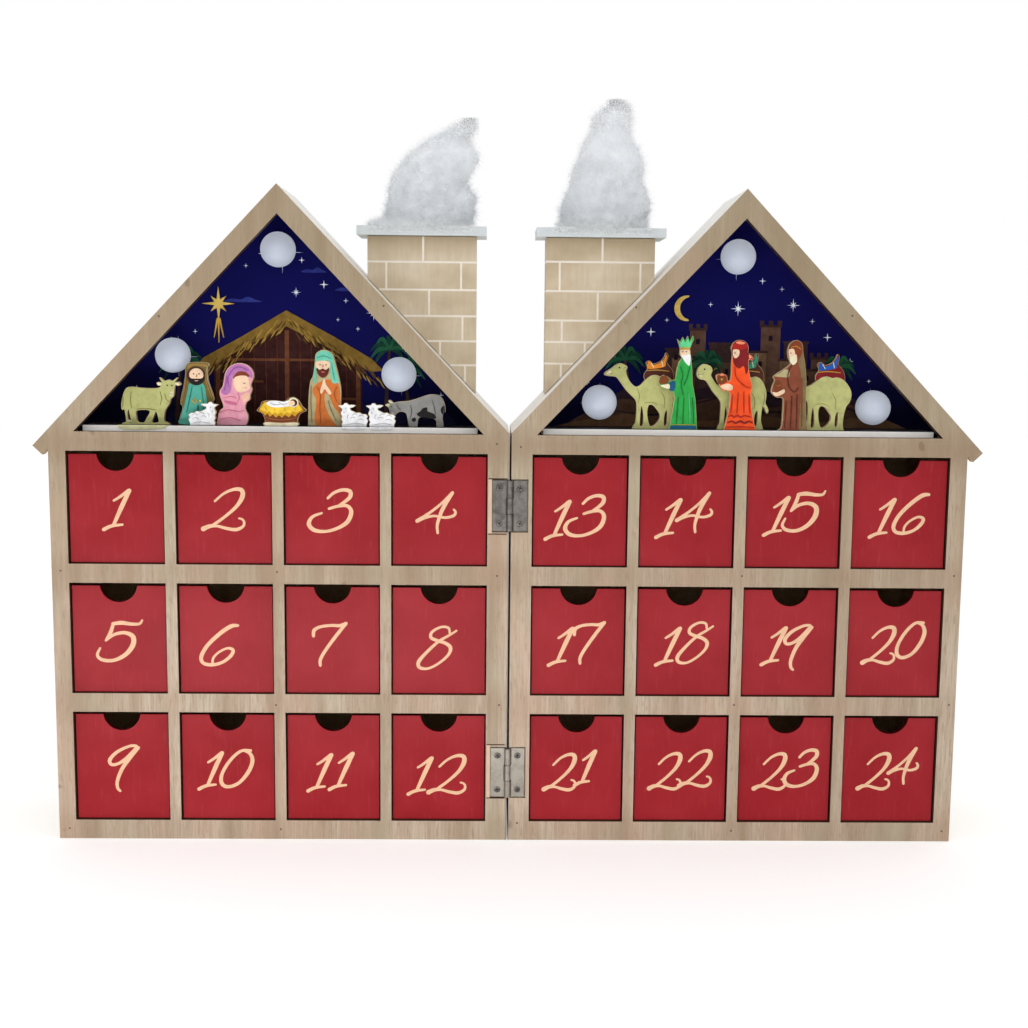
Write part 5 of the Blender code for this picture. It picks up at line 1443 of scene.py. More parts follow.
def stable(piece, layer):
    """The stable's boards, beams and thatched roof; gives the layer in front of them."""
    piece.shape([(-37, 0), (38, 0), (38, 31), (1, 50), (-37, 31)], layer, "wall_dark")
    layer -= COAT_STEP
    for number in range(13):
        x = -34 + number * 5.8
        top = 30 + (34 - abs(x)) * 0.5
        piece.line([(x, 1), (x + 0.4, top / 2), (x, top)], (0.35, 0.55, 0.35), layer, "wall_line", 3)
    for low, left, right in ((31.5, -34, 35), (20.5, -34, -12), (12.0, 14, 35)):
        piece.shape(rectangle(left, right, low, low + 1.3), layer - COAT_STEP, "wall_light")
    for x, high in ((-36, 33), (-1, 47), (35, 33)):
        piece.shape(rectangle(x, x + 2.2, 0, high), layer - COAT_STEP * 2, "wall_light")
    layer -= COAT_STEP * 3
    roof = [(-47, 27), (-42, 33), (-22, 44), (0, 57), (24, 44), (43, 33), (49, 27), (42, 26.5), (22, 38),
            (0, 49), (-22, 38), (-41, 26.5)]
    piece.shape(roof, layer, "thatch")
    layer -= COAT_STEP
    dice = random.Random(31)
    straws = 110
    for number in range(straws):
        x = -45 + 92 * number / (straws - 1)
        z = 55 - abs(x) * 0.62 - dice.uniform(0, 7)
        lean = 2.4 if x > 0 else -2.4
        drop = dice.uniform(2.4, 4.4)
        shade = dice.choice(("thatch_light", "thatch_dark", "thatch_light"))
        straw = [(x, z), (x + lean * 0.5, z - drop * 0.5), (x + lean, z - drop)]
        piece.line(straw, (0.35, 0.8, 0.25), layer - COAT_STEP * (number % 2), shade, 2)
    return layer - COAT_STEP * 2


def left_backdrop():
    """Own design: a thatched stable beside a great star, palms and hills."""
    piece = Backdrop("left")
    layer = BACKDROP_FRONT - COAT_STEP
    hills = [(-86, 0), (-74, 8), (-60, 13), (-42, 10), (-20, 12), (0, 9), (24, 13), (46, 9), (64, 14),
             (78, 8), (87, 0)]
    piece.shape(curve(hills, 5, False), layer, "hill", BACKDROP_FRONT + COAT)
    for x, high, lean, reach in ((-56, 31, 3, 12), (62, 27, -3, 11), (50, 38, 2, 10)):
        piece.palm(x, 0, high, lean, reach, layer - COAT_STEP)
    layer = stable(piece, layer - COAT_STEP * 3)
    rays = []
    for step in range(16):
        turn = math.pi * step / 8
        radius = (8.4, 2.2, 5.4, 2.2)[step % 4]
        rays.append((-34 + radius * math.sin(turn), 60 + radius * math.cos(turn)))
    piece.shape(rays, layer, "comet_light")
    for reach, turn in ((15, -0.16), (19, 0.0), (15, 0.16)):
        start = (-34 + 3 * math.sin(turn), 52.5)
        end = (-34 + reach * math.sin(turn), 52 - reach * math.cos(turn) * 0.6)
        piece.line([start, end], (1.0, 0.3), layer - COAT_STEP, "comet", 1)
    piece.stars(STABLE_STARS, "left")
    for x, z, wide in ((-22, 61, 9), (32, 67, 7), (14, 76, 6)):
        puffs = ((-1, 0), (-0.6, 1.6), (-0.1, 1.2), (0.3, 2.6), (0.7, 1.2), (1, 0))
        cloud = curve([(x + wide * across, z + up) for across, up in puffs])
        piece.shape(cloud, BACKDROP_FRONT - COAT / 2, "cloud", BACKDROP_FRONT + COAT)
    piece.finish("left_half", "night_blue")


def town(piece, layer):
    """Two rows of houses with windows, three of them with battlements; gives the layer in front."""
    back_row = ((-34, -24, 40, "town_dark"), (-22, -14, 50, "town"), (-12, -1, 43, "town_dark"),
                (14, 24, 52, "town"), (26, 38, 44, "town_dark"), (40, 48, 36, "town"))
    front_row = ((-44, -33, 31, "town"), (-31, -20, 36, "town_light"), (-8, 4, 34, "town"),
                 (6, 17, 39, "town_light"), (24, 34, 35, "town_light"), (34, 43, 30, "town"),
                 (-19, -9, 30, "town_dark"))
    windows = ((-39, 24), (-28, 28), (-24, 28), (-18, 42), (-3, 27), (1, 27), (9, 31), (14, 31), (19, 44),
               (29, 28), (38, 24), (-29, 34), (44, 30), (-14, 24), (31, 38))
    for left, right, high, colour in back_row:
        piece.house(left, right, 18, high, layer, colour)
    teeth = 3
    for left, right, high, colour in back_row[1::2]:
        pitch = (right - left + 1.4) / (2 * teeth - 1)
        for number in range(teeth):
            start = left - 0.7 + 2 * number * pitch
            tooth = rectangle(start, start + pitch, high, high + 2.2)
            piece.shape(tooth, layer - COAT_STEP / 2, "town_dark")
    layer -= COAT_STEP * 2
    for left, right, high, colour in front_row:
        piece.house(left, right, 14, high, layer, colour)
    layer -= COAT_STEP
    for x, z in windows:
        piece.arch_window(x, z, layer)
    return layer


def crescent(x, z, wide, high, sweep):
    """Half of a new moon's outline, from one tip to the other."""
    turns = [math.radians(sweep * (step / 12 - 1)) for step in range(25)]
    return [(x - wide * math.cos(turn), z + high * math.sin(turn)) for turn in turns]


def right_backdrop():
    """Own design: a walled town of flat roofs beyond the dunes, with palms and a new moon."""
    piece = Backdrop("right")
    layer = town(piece, BACKDROP_FRONT - COAT_STEP)
    for x, low, high, lean, reach in ((-52, 8, 34, -3, 10), (-15, 12, 33, 2, 9), (51, 10, 31, 3, 9)):
        piece.palm(x, low, high, lean, reach, layer - COAT_STEP)
    layer -= COAT_STEP * 3
    dunes = (
        ("dune_dark", [(-72, 0), (-66, 10), (-52, 20), (-30, 17), (-6, 21), (20, 17), (42, 22), (60, 16),
                       (74, 8), (82, 0)]),
        ("dune", [(-86, 0), (-74, 7), (-56, 14), (-34, 10), (-8, 15), (18, 10), (46, 15), (70, 9), (87, 0)]),
        ("dune_light", [(-90, 0), (-70, 4), (-44, 7), (-16, 3), (12, 6), (44, 3), (72, 6), (90, 0)]),
    )
    for colour, points in dunes:
        piece.shape(curve(points, 5, False), layer, colour)
        layer -= COAT_STEP
    for points in ([(-60, 8), (-40, 6), (-20, 9)], [(0, 5), (20, 8), (44, 6)], [(50, 12), (60, 10), (70, 5)],
                   [(-36, 14), (-20, 12), (-4, 16)]):
        piece.line(points, (0.4, 1.2, 0.4), layer, "dune_dark", 5)
    moon = crescent(-24, 60, 6.4, 6.4, 100) + crescent(-22.2, 60, 5.4, 5.6, 78)[::-1]
    piece.shape(moon, layer, "comet_light")
    piece.stars(TOWN_STARS, "right")
    piece.finish("right_half", "night_blue")


# Globes: middles in (x, z)
GLOBES = {
    "left": [(-115.7, 295.6), (-168.6, 243.1), (-55.9, 234.5)],
    "right": [(113, 294.4), (44.9, 221.5), (183.4, 220)],
}


def globe(side, number, x, z):
    """A frosted globe with a fine seam, in its socket."""
    depth = BACKDROP_FRONT - GAP - GLOBE_RADIUS
    steps = 24
    profile = [(0, -GLOBE_RADIUS)]
    for step in range(1, steps):
        turn = math.pi * step / steps - math.pi / 2
        seam = 0.12 if step == steps / 2 else 0
        profile.append((GLOBE_RADIUS * math.cos(turn) - seam, GLOBE_RADIUS * math.sin(turn)))
    profile.append((0, GLOBE_RADIUS))
    ball = Piece("{}_globe_{}".format(side, number))
    ball.lathe(profile, (x, depth, z), (0, 1, 0), MATERIALS["frosted"], 40)
    ball.finish(side + "_half", "frosted_plastic", [side + "_light_set"], 0, 60)
    start = depth + GLOBE_RADIUS - 0.8
    length = BACKDROP_BACK - start
    ends = [(0, 0), (2.4, 0), (2.4, 1.2), (3.1, 1.4), (3.1, length + 1.6), (2.2, length + 2.2),
            (0, length + 2.2)]
    socket = Piece("{}_socket_{}".format(side, number))
    socket.lathe(ends, (x, start, z), (0, 1, 0), MATERIALS["white_plastic"], 20)
    socket.finish(side + "_half", "frosted_plastic", [side + "_light_set"], 0, 40)


def light_set(side):
    """Frosted globes in their sockets, wired to the battery box in the back panel."""
    centre = SIDES[side] * GABLE_MIDDLE
    plug = Vector((0, BATTERY_FRONT + 0.4, BATTERY_LOW + BATTERY_HEIGHT / 2))
    wires = Piece(side + "_wires")
    for number, (x, z) in enumerate(GLOBES[side], 1):
        globe(side, number, x, z)
        tail = Vector((x, BACKDROP_BACK + 1.9, z))
        spread = (x - centre) / GABLE_MIDDLE * BATTERY_HALF
        landing = plug + Vector((centre + spread, 0, 0))
        for shift in (-0.42, 0.42):
            line = [tail.lerp(landing, step / 12) + Vector((shift, 0, 0)) for step in range(13)]
            wires.tube(line, 0.38, MATERIALS["wire"])
    wires.finish(side + "_half", "black_plastic", [side + "_light_set"], 0, 40)
    battery_box(side)


def battery_box(side):
    """The black case with its flange and the switch's slot, its ribbed lid and the lid's screw."""
    centre = SIDES[side] * GABLE_MIDDLE
    black = MATERIALS["black_plastic"]
    left = centre - BATTERY_HALF
    right = centre + BATTERY_HALF
    back = CASE_DEPTH - 0.5
    low = BATTERY_LOW
    high = BATTERY_LOW + BATTERY_HEIGHT
    middle = BATTERY_LOW + BATTERY_HEIGHT / 2
    slot = centre + 15.5
    slot_end = slot + 9.0
    rim = 3
    inner = back - 3.2
    flange_back = node_box(side + "_back_panel")[0].y - FRONT_Y - GAP
    case = Piece(side + "_battery_box")
    case.box((left, BATTERY_FRONT, low), (right, inner, high), black)
    case.box((left - rim, flange_back - 1.5, low - rim), (right + rim, flange_back, high + rim), black)
    for from_x, to_x, from_z, to_z in (
        (left, slot, low, high), (slot_end, right, low, high),
        (slot, slot_end, low, middle - 2), (slot, slot_end, middle + 2, high),
    ):
        case.box((from_x, inner, from_z), (to_x, back - 0.9, to_z), black)
    case.finish(side + "_half", "black_plastic", [side + "_light_set"], 0.3)
    lid = Piece(side + "_battery_lid")
    lid_right = slot - 3
    lid.box((left + 1.2, back - 1.0, low + 1.2), (lid_right, back, high - 1.2), black)
    for step in range(5):
        x = left + 6 + step * 2.2
        lid.box((x, back - 0.2, middle - 6), (x + 1.0, back + 0.35, middle + 6), black)
    lid.finish(side + "_half", "black_plastic", [side + "_light_set"], 0.25)
    place = (lid_right - 4, back, low + 5)
    screw(side + "_battery_screw", place, 1.4, side + "_half", (0, 1, 0), "black_plastic", 0.35)


def screw(name, place, radius, body, axis, slot, proud):
    """A cross-head screw in its countersink; its head faces along the axis."""
    piece = Piece(name)
    # Painted shade: the dark cone under the head and the dark cross over it stand for the shade in the
    # countersink and the cross recess
    dark = MATERIALS["screw_dark"]
    sunk = [(0, -0.9), (radius * 1.16, -0.1), (radius * 1.16, 0.015), (0, 0.015)]
    head = [(0, -0.2), (radius * 0.9, -0.1), (radius * 0.94, 0.03), (radius * 0.84, proud * 0.7),
            (radius * 0.5, proud), (0, proud)]
    piece.lathe(sunk, place, axis, dark, 20)
    piece.lathe(head, place, axis, MATERIALS["screw_steel"], 20)
    x, depth, z = place
    near, far = sorted((depth + axis[1] * (proud - 0.15), depth + axis[1] * (proud + 0.02)))
    thin = radius * 0.15
    long = radius * 0.62
    turn = math.radians(random.Random(name).uniform(0, 90))
    for angle in (turn, turn + math.pi / 2):
        across = math.cos(angle)
        up = math.sin(angle)
        bar = rectangle(-long, long, -thin, thin)
        ring = [(x + a * across - b * up, z + a * up + b * across) for a, b in bar]
        piece.prism(ring, near, far, dark)
    piece.finish(body, slot, (), 0, 50)


def hinges():
    """Screws in the hinge leaves; the upper hinge is darker, the lower one brighter."""
    for side in SIDES:
        for level in ("upper", "lower"):
            name = side + "_" + level + "_hinge_leaf"
            dress(name, MATERIALS["zinc_dull" if level == "upper" else "zinc_bright"], 0.12)
            low, high = node_box(name)
            for number, z in enumerate((low.z + 3.8, high.z - 3.8), 1):
                label = "{}_screw_{}".format(name, number)
                place = (SIDES[side] * 5.05, 0.12, z)
                screw(label, place, 1.55, side + "_half", (0, -1, 0), "zinc", 0.22)
    cuts = Piece("left_hinge_recesses")
    for level, above, below in (("upper", 0.5, 1.2), ("lower", 1.5, 0.5)):
        low, high = node_box("left_" + level + "_hinge_leaf")
        edge = node_box("drawer_04")[1].x + 1.0
        for z in (high.z + above, low.z - below - 0.55):
            # Painted shadow: the dark strips above and below each leaf stand for the shade at the edges of
            # its recess
            cuts.box((edge, -0.03, z), (-1.4, 0.2, z + 0.55), MATERIALS["cut_dark"])
        cuts.box((edge, -0.02, low.z - below), (low.x - 0.3, 0.2, high.z + above), MATERIALS["cut_pale"])
    cuts.finish("left_half", "birch_plywood")


# Small nails that hold the face frames: places in (x, z), and their bodies follow from the sign of x
BRADS = [
    (-6.6, 201.5), (-114.9, 137.1), (-6, 135.9), (-116.2, 69.6), (-4.5, 70.2), (-220.8, 5.3), (-114.4, 5.2),
    (5.2, 200.1), (115.9, 136.7), (113.8, 70.9), (222.6, 71.5), (5.1, 8.9), (-170.5, 262), (-62, 268),
    (166, 265.5), (60.5, 268.5), (-221.5, 137), (222, 137.5), (114.2, 5.2), (222, 5.4),
]


def brads():
    """Heads of the small nails, almost flush."""
    profile = [(0, -0.6), (0.5, -0.6), (0.55, 0.02), (0.35, 0.06), (0, 0.06)]
    for side, sign in SIDES.items():
        piece = Piece(side + "_brads")
        for x, z in BRADS:
            if x * sign > 0:
                piece.lathe(profile, (x, 0, z), (0, -1, 0), MATERIALS["nail"], 12)
        piece.finish(side + "_half", "zinc", (), 0, 40)


# Smoke outlines seen from the front, in (height over the cap, left x, right x)
SMOKE = {
    "left": [
        (-1.6, -71.5, -23), (0.2, -73.5, -21.5), (1.4, -70.5, -20.8), (2.6, -66.6, -20.4), (5, -65, -19.2),
        (9, -64.6, -17.6), (15, -63.8, -17), (20, -62.6, -20.4), (25, -61, -20), (31, -57.4, -16.8),
        (36, -52.6, -16.8), (40.5, -47.4, -19.4), (44.5, -41.2, -21), (48.2, -33.6, -17.6),
        (51.4, -27.6, -17.2), (54.2, -22.6, -18.6),
    ],
    "right": [
        (0.1, 22.5, 68.4), (1.2, 23.2, 68.6), (2.6, 24.4, 68.4), (6, 24.2, 69), (11, 24.6, 70.2),
        (19, 25.6, 69.8), (27, 28.2, 67.6), (34, 31.2, 66.4), (41, 34.6, 64), (47, 37, 61.6), (52, 38, 61),
        (56.5, 40.6, 60.4), (60.5, 46.6, 59), (62.6, 48.6, 55.6), (64, 49.6, 52.6),
    ],
}
# Under this height the tuft spreads flat over the cap: its plan is squarer and as deep as the cap
SKIRT_HEIGHT = 3.0
CORE_INSET = 1.5
CORE_STEPS = 56
STRAND_PARTS = 4
FIBRES = 30000
# Fibres that hang over the cap's front edge: how far down, how far in from its ends, and one in how many
HANG_DEPTH = 3.2
HANG_SHARE = 0.11
HANG_EVERY = 22


def cloud_lump(spot):
    """Uneven billows in several sizes, for a place in millimetres."""
    waves = ((0.9, 0.075), (0.55, 0.17), (0.34, 0.38), (0.20, 0.85))
    return sum(strength * noise.noise(spot * often) for strength, often in waves)


def tuft_limits(side):
    """The room that the tuft and its fibres may take, from the chimney cap and the CAD node."""
    low, high = node_box(side + "_chimney_smoke")
    cap_low, cap_high = node_box(side + "_chimney_cap")
    low.x = min(low.x, cap_low.x + 1)
    high.x = max(high.x, cap_high.x - 1)
    low.y = cap_low.y - 1.0
    high.y = cap_high.y + 1.0
    return low, high


def smoke_core(side):
    """The tuft's body: rings between the two outlines, pushed in and out in billows."""
    low, high = tuft_limits(side)
    deep_limit = (high.y - low.y) / 2 - 1.0
    rows = curve(SMOKE[side], 5, False)
    rings = []
    for height, left, right in rows:
        middle = (left + right) / 2
        reach = max((right - left) / 2 - CORE_INSET, 0.8)
        flat = min(max(1 - height / SKIRT_HEIGHT, 0), 1)
        deep = min(reach * 0.86, deep_limit - 1.5) * (1 - flat) + deep_limit * flat
        ring = []
        for step in range(CORE_STEPS):
            turn = 2 * math.pi * step / CORE_STEPS
            way = Vector((math.cos(turn), math.sin(turn)))
            way.y = math.copysign(abs(way.y) ** (1 - 0.6 * flat), way.y)
            spot = Vector((middle + reach * way.x, deep * way.y, height * 0.9))
            push = 2.3 * cloud_lump(spot) * min(1.0, reach / 8) * (1 - 0.7 * flat)
            depth = SMOKE_DEPTH + (deep + push) * way.y
            depth = min(max(depth, low.y - FRONT_Y + 0.3), high.y - FRONT_Y - 0.3)
            x = min(max(middle + (reach + push) * way.x, low.x + 0.3), high.x - 0.3)
            ring.append(at(x, depth, min(CAP_TOP + height, high.z - 0.8)))
        rings.append(ring)
    core = Piece(side + "_smoke_core")
    core.skin(rings, MATERIALS["smoke_core"])
    core.finish(side + "_half", "white_fibre", [side + "_chimney_smoke"], 0, 80)
    return rings


def strand(piece, start, heading, length, width, dice, limits):
    """A fine curled ribbon of fibre that stays inside the limits."""
    low, high = limits
    curl = Vector((dice.uniform(-1, 1), dice.uniform(-1, 1), dice.uniform(-1, 1))) * 0.32
    across = heading.cross(curl)
    if across.length < 1e-4:
        return
    across.normalize()
    point = start.copy()
    pairs = []
    for part in range(STRAND_PARTS + 1):
        point.x = min(max(point.x, low.x), high.x)
        point.y = min(max(point.y, low.y), high.y)
        point.z = max(point.z, low.z)
        if point.z > high.z:
            break
        half = across * width * (1 - 0.7 * part / STRAND_PARTS) / 2
        pairs.append((piece.bm.verts.new(point + half), piece.bm.verts.new(point - half)))
        heading = (heading + curl).normalized()
        point = point + heading * length / STRAND_PARTS
    for a, b in zip(pairs, pairs[1:]):
        piece.face((a[0], a[1], b[1], b[0]), 0)


def smoke_fibres(side, rings, count):
    """Curled strands that cover the tuft, stand out of its edge and trail over the cap."""
    dice = random.Random(11 if side == "left" else 12)
    low, high = tuft_limits(side)
    limits = (low * MM, (high - Vector((0, 0, 0.1))) * MM)
    limits[0].z = (CAP_TOP - HANG_DEPTH) * MM
    cap_low, cap_high = node_box(side + "_chimney_cap")
    hang_inset = HANG_SHARE * (cap_high.x - cap_low.x)
    piece = Piece(side + "_smoke_fibres")
    piece.index(MATERIALS["smoke_fibre"])
    centres = [sum(ring, Vector()) / len(ring) for ring in rings]
    skirt_rows = sum(1 for centre in centres if centre.z < (CAP_TOP + SKIRT_HEIGHT) * MM)
    for number in range(count):
        if number % HANG_EVERY == 0:
            x = dice.uniform(cap_low.x + hang_inset, cap_high.x - hang_inset)
            start = Vector((x, cap_low.y - 0.05, CAP_TOP - dice.uniform(-0.2, HANG_DEPTH - 1.0))) * MM
            heading = Vector((dice.uniform(-1, 1), -0.15, dice.uniform(-0.9, 0.4))).normalized()
            strand(piece, start, heading, dice.uniform(1.8, 4.0) * MM, 0.14 * MM, dice, limits)
            continue
        if number % 5:
            row = min(int(dice.random() * (len(rings) - 1)), len(rings) - 2)
        else:
            row = dice.randrange(min(skirt_rows, len(rings) - 2))
        step = dice.randrange(CORE_STEPS)
        ring = rings[row]
        here = ring[step].lerp(ring[(step + 1) % CORE_STEPS], dice.random())
        here = here.lerp(rings[row + 1][step], dice.random())
        out = here - centres[row]
        out.z = 0.25 * out.length
        out.normalize()
        drift = Vector((dice.uniform(-1, 1), dice.uniform(-1, 1), dice.uniform(-0.7, 1.0)))
        along = (drift - out * drift.dot(out)).normalized()
        rise = dice.uniform(0.05, 0.9) if number % 3 else dice.uniform(0.6, 1.5)
        heading = (along + out * rise).normalized()
        length = dice.uniform(2.0, 5.5) * MM
        strand(piece, here - out * 0.5 * MM, heading, length, dice.uniform(0.08, 0.16) * MM, dice, limits)
    made = piece.build()
    made.data.shade_smooth()
    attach(made, side + "_half")


def make_materials():
    birch = (tone(176, 146, 108), tone(202, 176, 138), tone(220, 198, 164))
    dull = (tone(132, 98, 66), tone(160, 124, 88), tone(180, 146, 108))
    pale = (tone(184, 160, 118), tone(206, 184, 142), tone(222, 204, 168))
    return {
        "face": face_frame_wood(),
        "board": plain_wood("case_board", birch, (1, 1, 0.05)),
        "shelf": plain_wood("shelf_board", birch, (0.05, 1, 1)),
        "back": plain_wood("back_board", dull, (1, 1, 0.05)),
        "box_wood": plain_wood("box_side", birch, (1, 0.05, 1)),
        "box_floor": plain_wood("box_floor", birch, (1, 0.05, 1)),
        "cut_edge": plain_wood("cut_edge", pale, (1, 0.2, 1)),
        "drawer_red": drawer_red(),
        "number_cream": painted("number_cream", tone(229, 184, 148), 0.5, 0.04, 0.1),
        "board_white": board_paint(),
        "roof_white": painted("roof_white", tone(244, 241, 235), 0.5, 0.03, 0.25),
        "cap_white": painted("cap_white", tone(206, 212, 214), 0.5, 0.03, 0.2),
        "brick": brick_print(),
        "mortar": painted("mortar", tone(229, 220, 207), 0.6, 0.03, 0.2),
        "sky": night_sky(),
        "zinc_dull": zinc("zinc_dull", (0.165, 0.15, 0.138, 1), 0.42, 0.5),
        "zinc_bright": zinc("zinc_bright", (0.31, 0.285, 0.245, 1), 0.34, 0.25),
        "screw_steel": zinc("screw_steel", (0.17, 0.155, 0.14, 1), 0.38, 0.4),
        "screw_dark": zinc("screw_dark", (0.03, 0.03, 0.03, 1), 0.6, 0.3),
        "cut_dark": painted("cut_dark", tone(62, 44, 32), 0.7, 0.1, gloss=0.1),
        "cut_pale": painted("cut_pale", tone(208, 182, 158), 0.7, 0.06, gloss=0.1),
        "nail": zinc("nail", (0.16, 0.13, 0.10, 1), 0.5, 0.3),
        "frosted": frosted(),
        "white_plastic": plastic("white_plastic", tone(226, 228, 230), 0.4),
        "black_plastic": plastic("black_plastic", tone(26, 26, 27), 0.45),
        "wire": plastic("wire_green", tone(24, 30, 26), 0.4),
        # Smoke: the second tone is the painted shade low in the tuft
        "smoke_core": fibre_white("smoke_core", tone(238, 241, 245), tone(206, 210, 214), 0.6),
        "smoke_fibre": fibre_white("smoke_fibre", tone(253, 254, 255), tone(226, 230, 234), 0.0),
    }


MATERIALS = make_materials()


def dress_nodes():
    """Finishes of the CAD nodes that stay."""
    finishes = (
        ("face_frame", "face", 0.15), ("outer_wall", "board", 0.3), ("inner_wall", "board", 0.3),
        ("base_board", "shelf", 0.3), ("drawer_rack", "shelf", 0.2), ("attic_floor", "shelf", 0.3),
        ("back_panel", "back", 0.3), ("outer_roof_board", "roof_white", 0.4),
        ("inner_roof_board", "roof_white", 0.4), ("backdrop_panel", "sky", 0.2),
        ("chimney_stack", "brick", 0.3), ("chimney_cap", "cap_white", 0.5),
        ("light_switch", "black_plastic", 0.3),
    )
    for side in SIDES:
        for name, material, bevel in finishes:
            dress(side + "_" + name, MATERIALS[material], bevel)


# Mortar lines printed on the chimneys: heights of the rows, and places of the joints between them
MORTAR = {
    "left": (
        [290.5, 276.8, 263.8, 251.3, 239.3], [[-44.1], [-62.5, -25.1], [-41.1], [-24.3], [-35.5], [-22.9]],
    ),
    "right": ([291.3, 276.8, 262.2, 251.4, 240.6], [[45.6], [24.3, 64.8], [43.6], [25.7], [37.4], [25.5]]),
}
MORTAR_WIDTH = 1.0
SIDE_JOINT_SHIFT = 4.5
# The lowest joints could run this far below the stack's top, but the roof ends them
LOWEST_JOINT = 90


def mortar(side):
    """Raised print between the bricks, round all four sides of the chimney."""
    low, high = node_box(side + "_chimney_stack")
    front = low.y - FRONT_Y
    back = high.y - FRONT_Y
    half = MORTAR_WIDTH / 2
    rows, joints = MORTAR[side]
    piece = Piece(side + "_chimney_mortar")
    made = MATERIALS["mortar"]
    for z in rows:
        reach = roof_reach(side, z - half)
        left = max(low.x, reach[0])
        right = min(high.x, reach[1])
        if right - left < 1:
            continue
        for face in (front, back):
            piece.box((left, face - COAT, z - half), (right, face + COAT, z + half), made)
        for face in (low.x, high.x):
            if left <= face <= right:
                piece.box((face - COAT, front, z - half), (face + COAT, back, z + half), made)
    thin = COAT * 0.9
    levels = [high.z] + rows + [high.z - LOWEST_JOINT]
    for number, places in enumerate(joints):
        top = levels[number] - (half if number else 0)
        base = levels[number + 1] + half
        for x in places:
            bottom = max(base, roof_over(x) + 0.4)
            if top - bottom > 1:
                for face in (front, back):
                    piece.box((x - half, face - thin, bottom), (x + half, face + thin, top), made)
        depth = (front + back) / 2 + (SIDE_JOINT_SHIFT if number % 2 else -SIDE_JOINT_SHIFT)
        for face in (low.x, high.x):
            bottom = max(base, roof_over(face) + 0.4)
            if top - bottom > 1:
                piece.box((face - thin, depth - half, bottom), (face + thin, depth + half, top), made)
    piece.finish(side + "_half", "chimney_wood")


def roof_over(x):
    """Height of the inner roof slope's top at a place across the object."""
    return PEAK - abs(abs(x) - GABLE_MIDDLE) * ROOF_SLOPE


def roof_reach(side, z):
    """How far a chimney shows over the roof at a height: its left and right limits."""
    away = (PEAK - z) / ROOF_SLOPE + 0.4
    if side == "left":
        return -GABLE_MIDDLE + away, 0.0
    return 0.0, GABLE_MIDDLE - away


# Camera, fitted to the photographed corners
CAMERA_PLACE = (-9.4, -685.9, 252.3)
CAMERA_YAW = -0.01681
CAMERA_PITCH = 0.12376
CAMERA_ROLL = 0.00966
CAMERA_LENS = 49.03
SENSOR = 36.0
WORLD_STRENGTH = 0.80
FLOOR_GLOW = 0.35
LOW_LAMP_Y = -0.36


def camera():
    data = bpy.data.cameras.new("camera")
    data.sensor_width = SENSOR
    data.lens = CAMERA_LENS
    data.clip_start = 0.01
    eye = new_object("camera", data)
    right = Vector((math.cos(CAMERA_YAW), math.sin(CAMERA_YAW), 0))
    level = Vector((-math.sin(CAMERA_YAW), math.cos(CAMERA_YAW), 0))
    forward = level * math.cos(CAMERA_PITCH) - Vector((0, 0, math.sin(CAMERA_PITCH)))
    up = right.cross(forward)
    rolled = right * math.cos(CAMERA_ROLL) + up * math.sin(CAMERA_ROLL)
    rolled_up = up * math.cos(CAMERA_ROLL) - right * math.sin(CAMERA_ROLL)
    turn = Matrix((rolled, rolled_up, -forward)).transposed().to_4x4()
    turn.translation = at(*CAMERA_PLACE)
    eye.matrix_world = turn
    bpy.context.scene.camera = eye


def area_light(name, place, target, size, power):
    data = bpy.data.lights.new(name, "AREA")
    data.shape = "RECTANGLE"
    data.size, data.size_y = size
    data.energy = power
    lamp = new_object(name, data)
    lamp.location = place
    lamp.rotation_euler = (Vector(target) - Vector(place)).to_track_quat("-Z", "Y").to_euler()


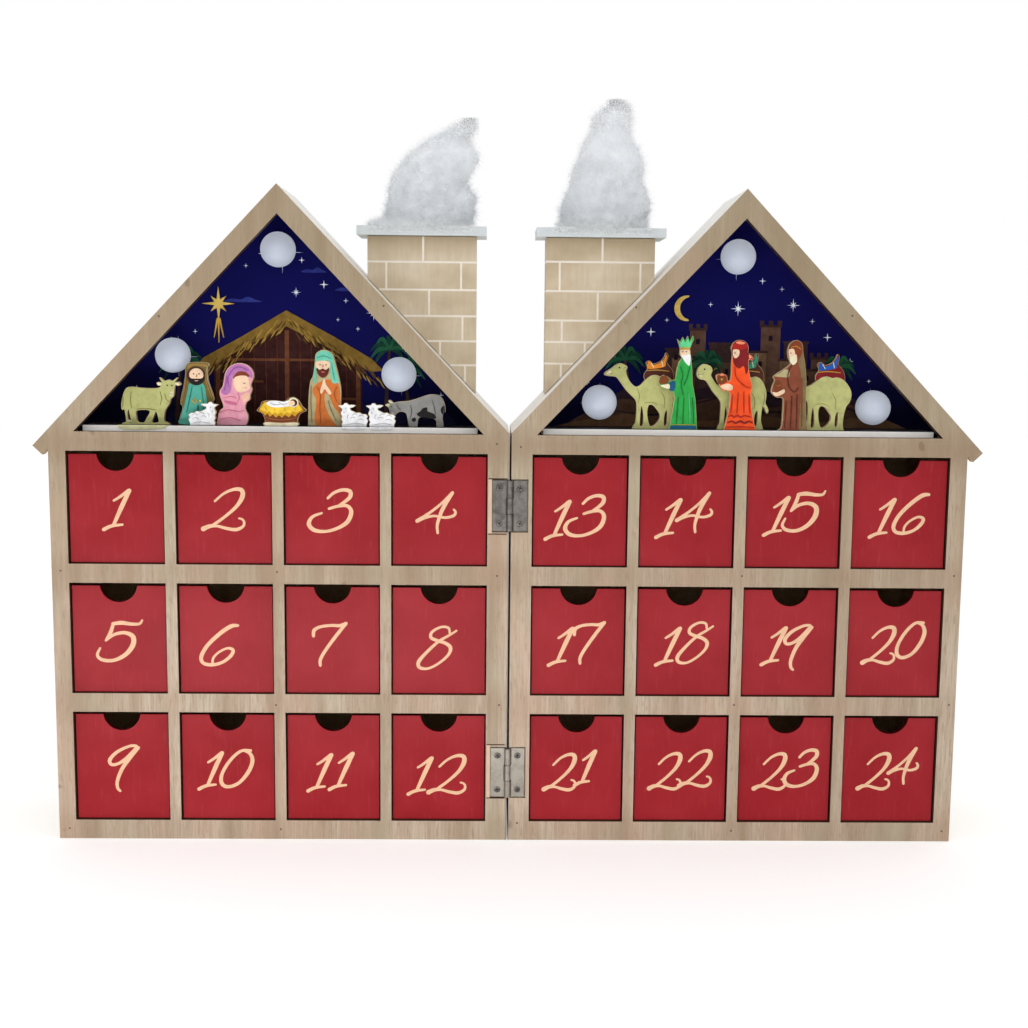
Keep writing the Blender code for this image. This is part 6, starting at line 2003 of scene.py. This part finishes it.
def stage():
    """White floor, white surroundings and soft light."""
    bpy.ops.mesh.primitive_plane_add(size=6, location=(0, 0, 0))
    floor = bpy.context.object
    floor.name = "floor"
    graph = Graph("floor_white", 0.9)
    graph.set("Base Color", (0.86, 0.86, 0.86, 1))
    graph.set("Specular IOR Level", 0.0)
    graph.set("Emission Color", (1, 1, 1, 1))
    graph.set("Emission Strength", graph.math("MULTIPLY", graph.seen(), FLOOR_GLOW))
    floor.data.materials.append(graph.material)
    world = bpy.data.worlds.new("world")
    bpy.context.scene.world = world
    world.use_nodes = True
    world.node_tree.nodes.clear()
    nodes = Nodes(world.node_tree)
    strength = nodes.node("ShaderNodeMix", {}, {0: nodes.seen(), 2: WORLD_STRENGTH, 3: 1.0}).outputs[0]
    white = nodes.node("ShaderNodeBackground", {}, {"Color": (1, 1, 1, 1), "Strength": strength}).outputs[0]
    nodes.node("ShaderNodeOutputWorld", {}, {0: white})
    area_light("front_soft", (-0.35, -1.5, 1.25), (0, 0, 0.15), (1.6, 1.2), 3.0)
    area_light("right_soft", (1.5, -0.8, 0.9), (0, 0, 0.15), (1.2, 1.2), 1.6)
    for name, x, power in (("low_left", -0.20, 0.46), ("low_right", 0.20, 0.20)):
        area_light(name, (x, LOW_LAMP_Y, 0.032), (x, 0, 0.06), (0.40, 0.052), power)
    bpy.context.scene.view_settings.view_transform = "Standard"


def main():
    camera()
    stage()
    dress_nodes()
    hinges()
    brads()
    for number in range(1, 25):
        drawer(number)
    for side in SIDES:
        mortar(side)
        scene_board(side)
        light_set(side)
        rings = smoke_core(side)
        smoke_fibres(side, rings, FIBRES)
    left_backdrop()
    right_backdrop()
    for name, left, row, drawing in (
        ("ox", -193.1, BACK_ROW, OX), ("joseph", -164.9, BACK_ROW, JOSEPH),
        ("sheep_a", -158.9, FRONT_ROW, SHEEP), ("mary", -146.0, BACK_ROW, MARY),
        ("manger", -125.3, FRONT_ROW, MANGER),
        ("shepherd", -100.8, BACK_ROW, SHEPHERD), ("sheep_b", -85.2, FRONT_ROW, LOW_SHEEP),
        ("sheep_c", -71.6, FRONT_ROW, LOW_SHEEP), ("cow", -62.5, BACK_ROW, COW),
    ):
        figure("left", name, left, row, drawing)
    camel("camel_a", 46.4, "bundle_brown", "bundle_orange")
    camel("camel_b", 91.5, "bundle_brown", "bundle_green", SHORT_CAMEL)
    camel("camel_c", 132.0, "maroon", "bundle_blue", ROUND_CAMEL)
    kings = (("green", 78.6, GREEN_KING), ("red", 101.6, RED_KING), ("brown", 129.0, BROWN_KING))
    for colour, left, drawing in kings:
        figure("right", colour + "_king", left, FRONT_ROW, drawing)


main()
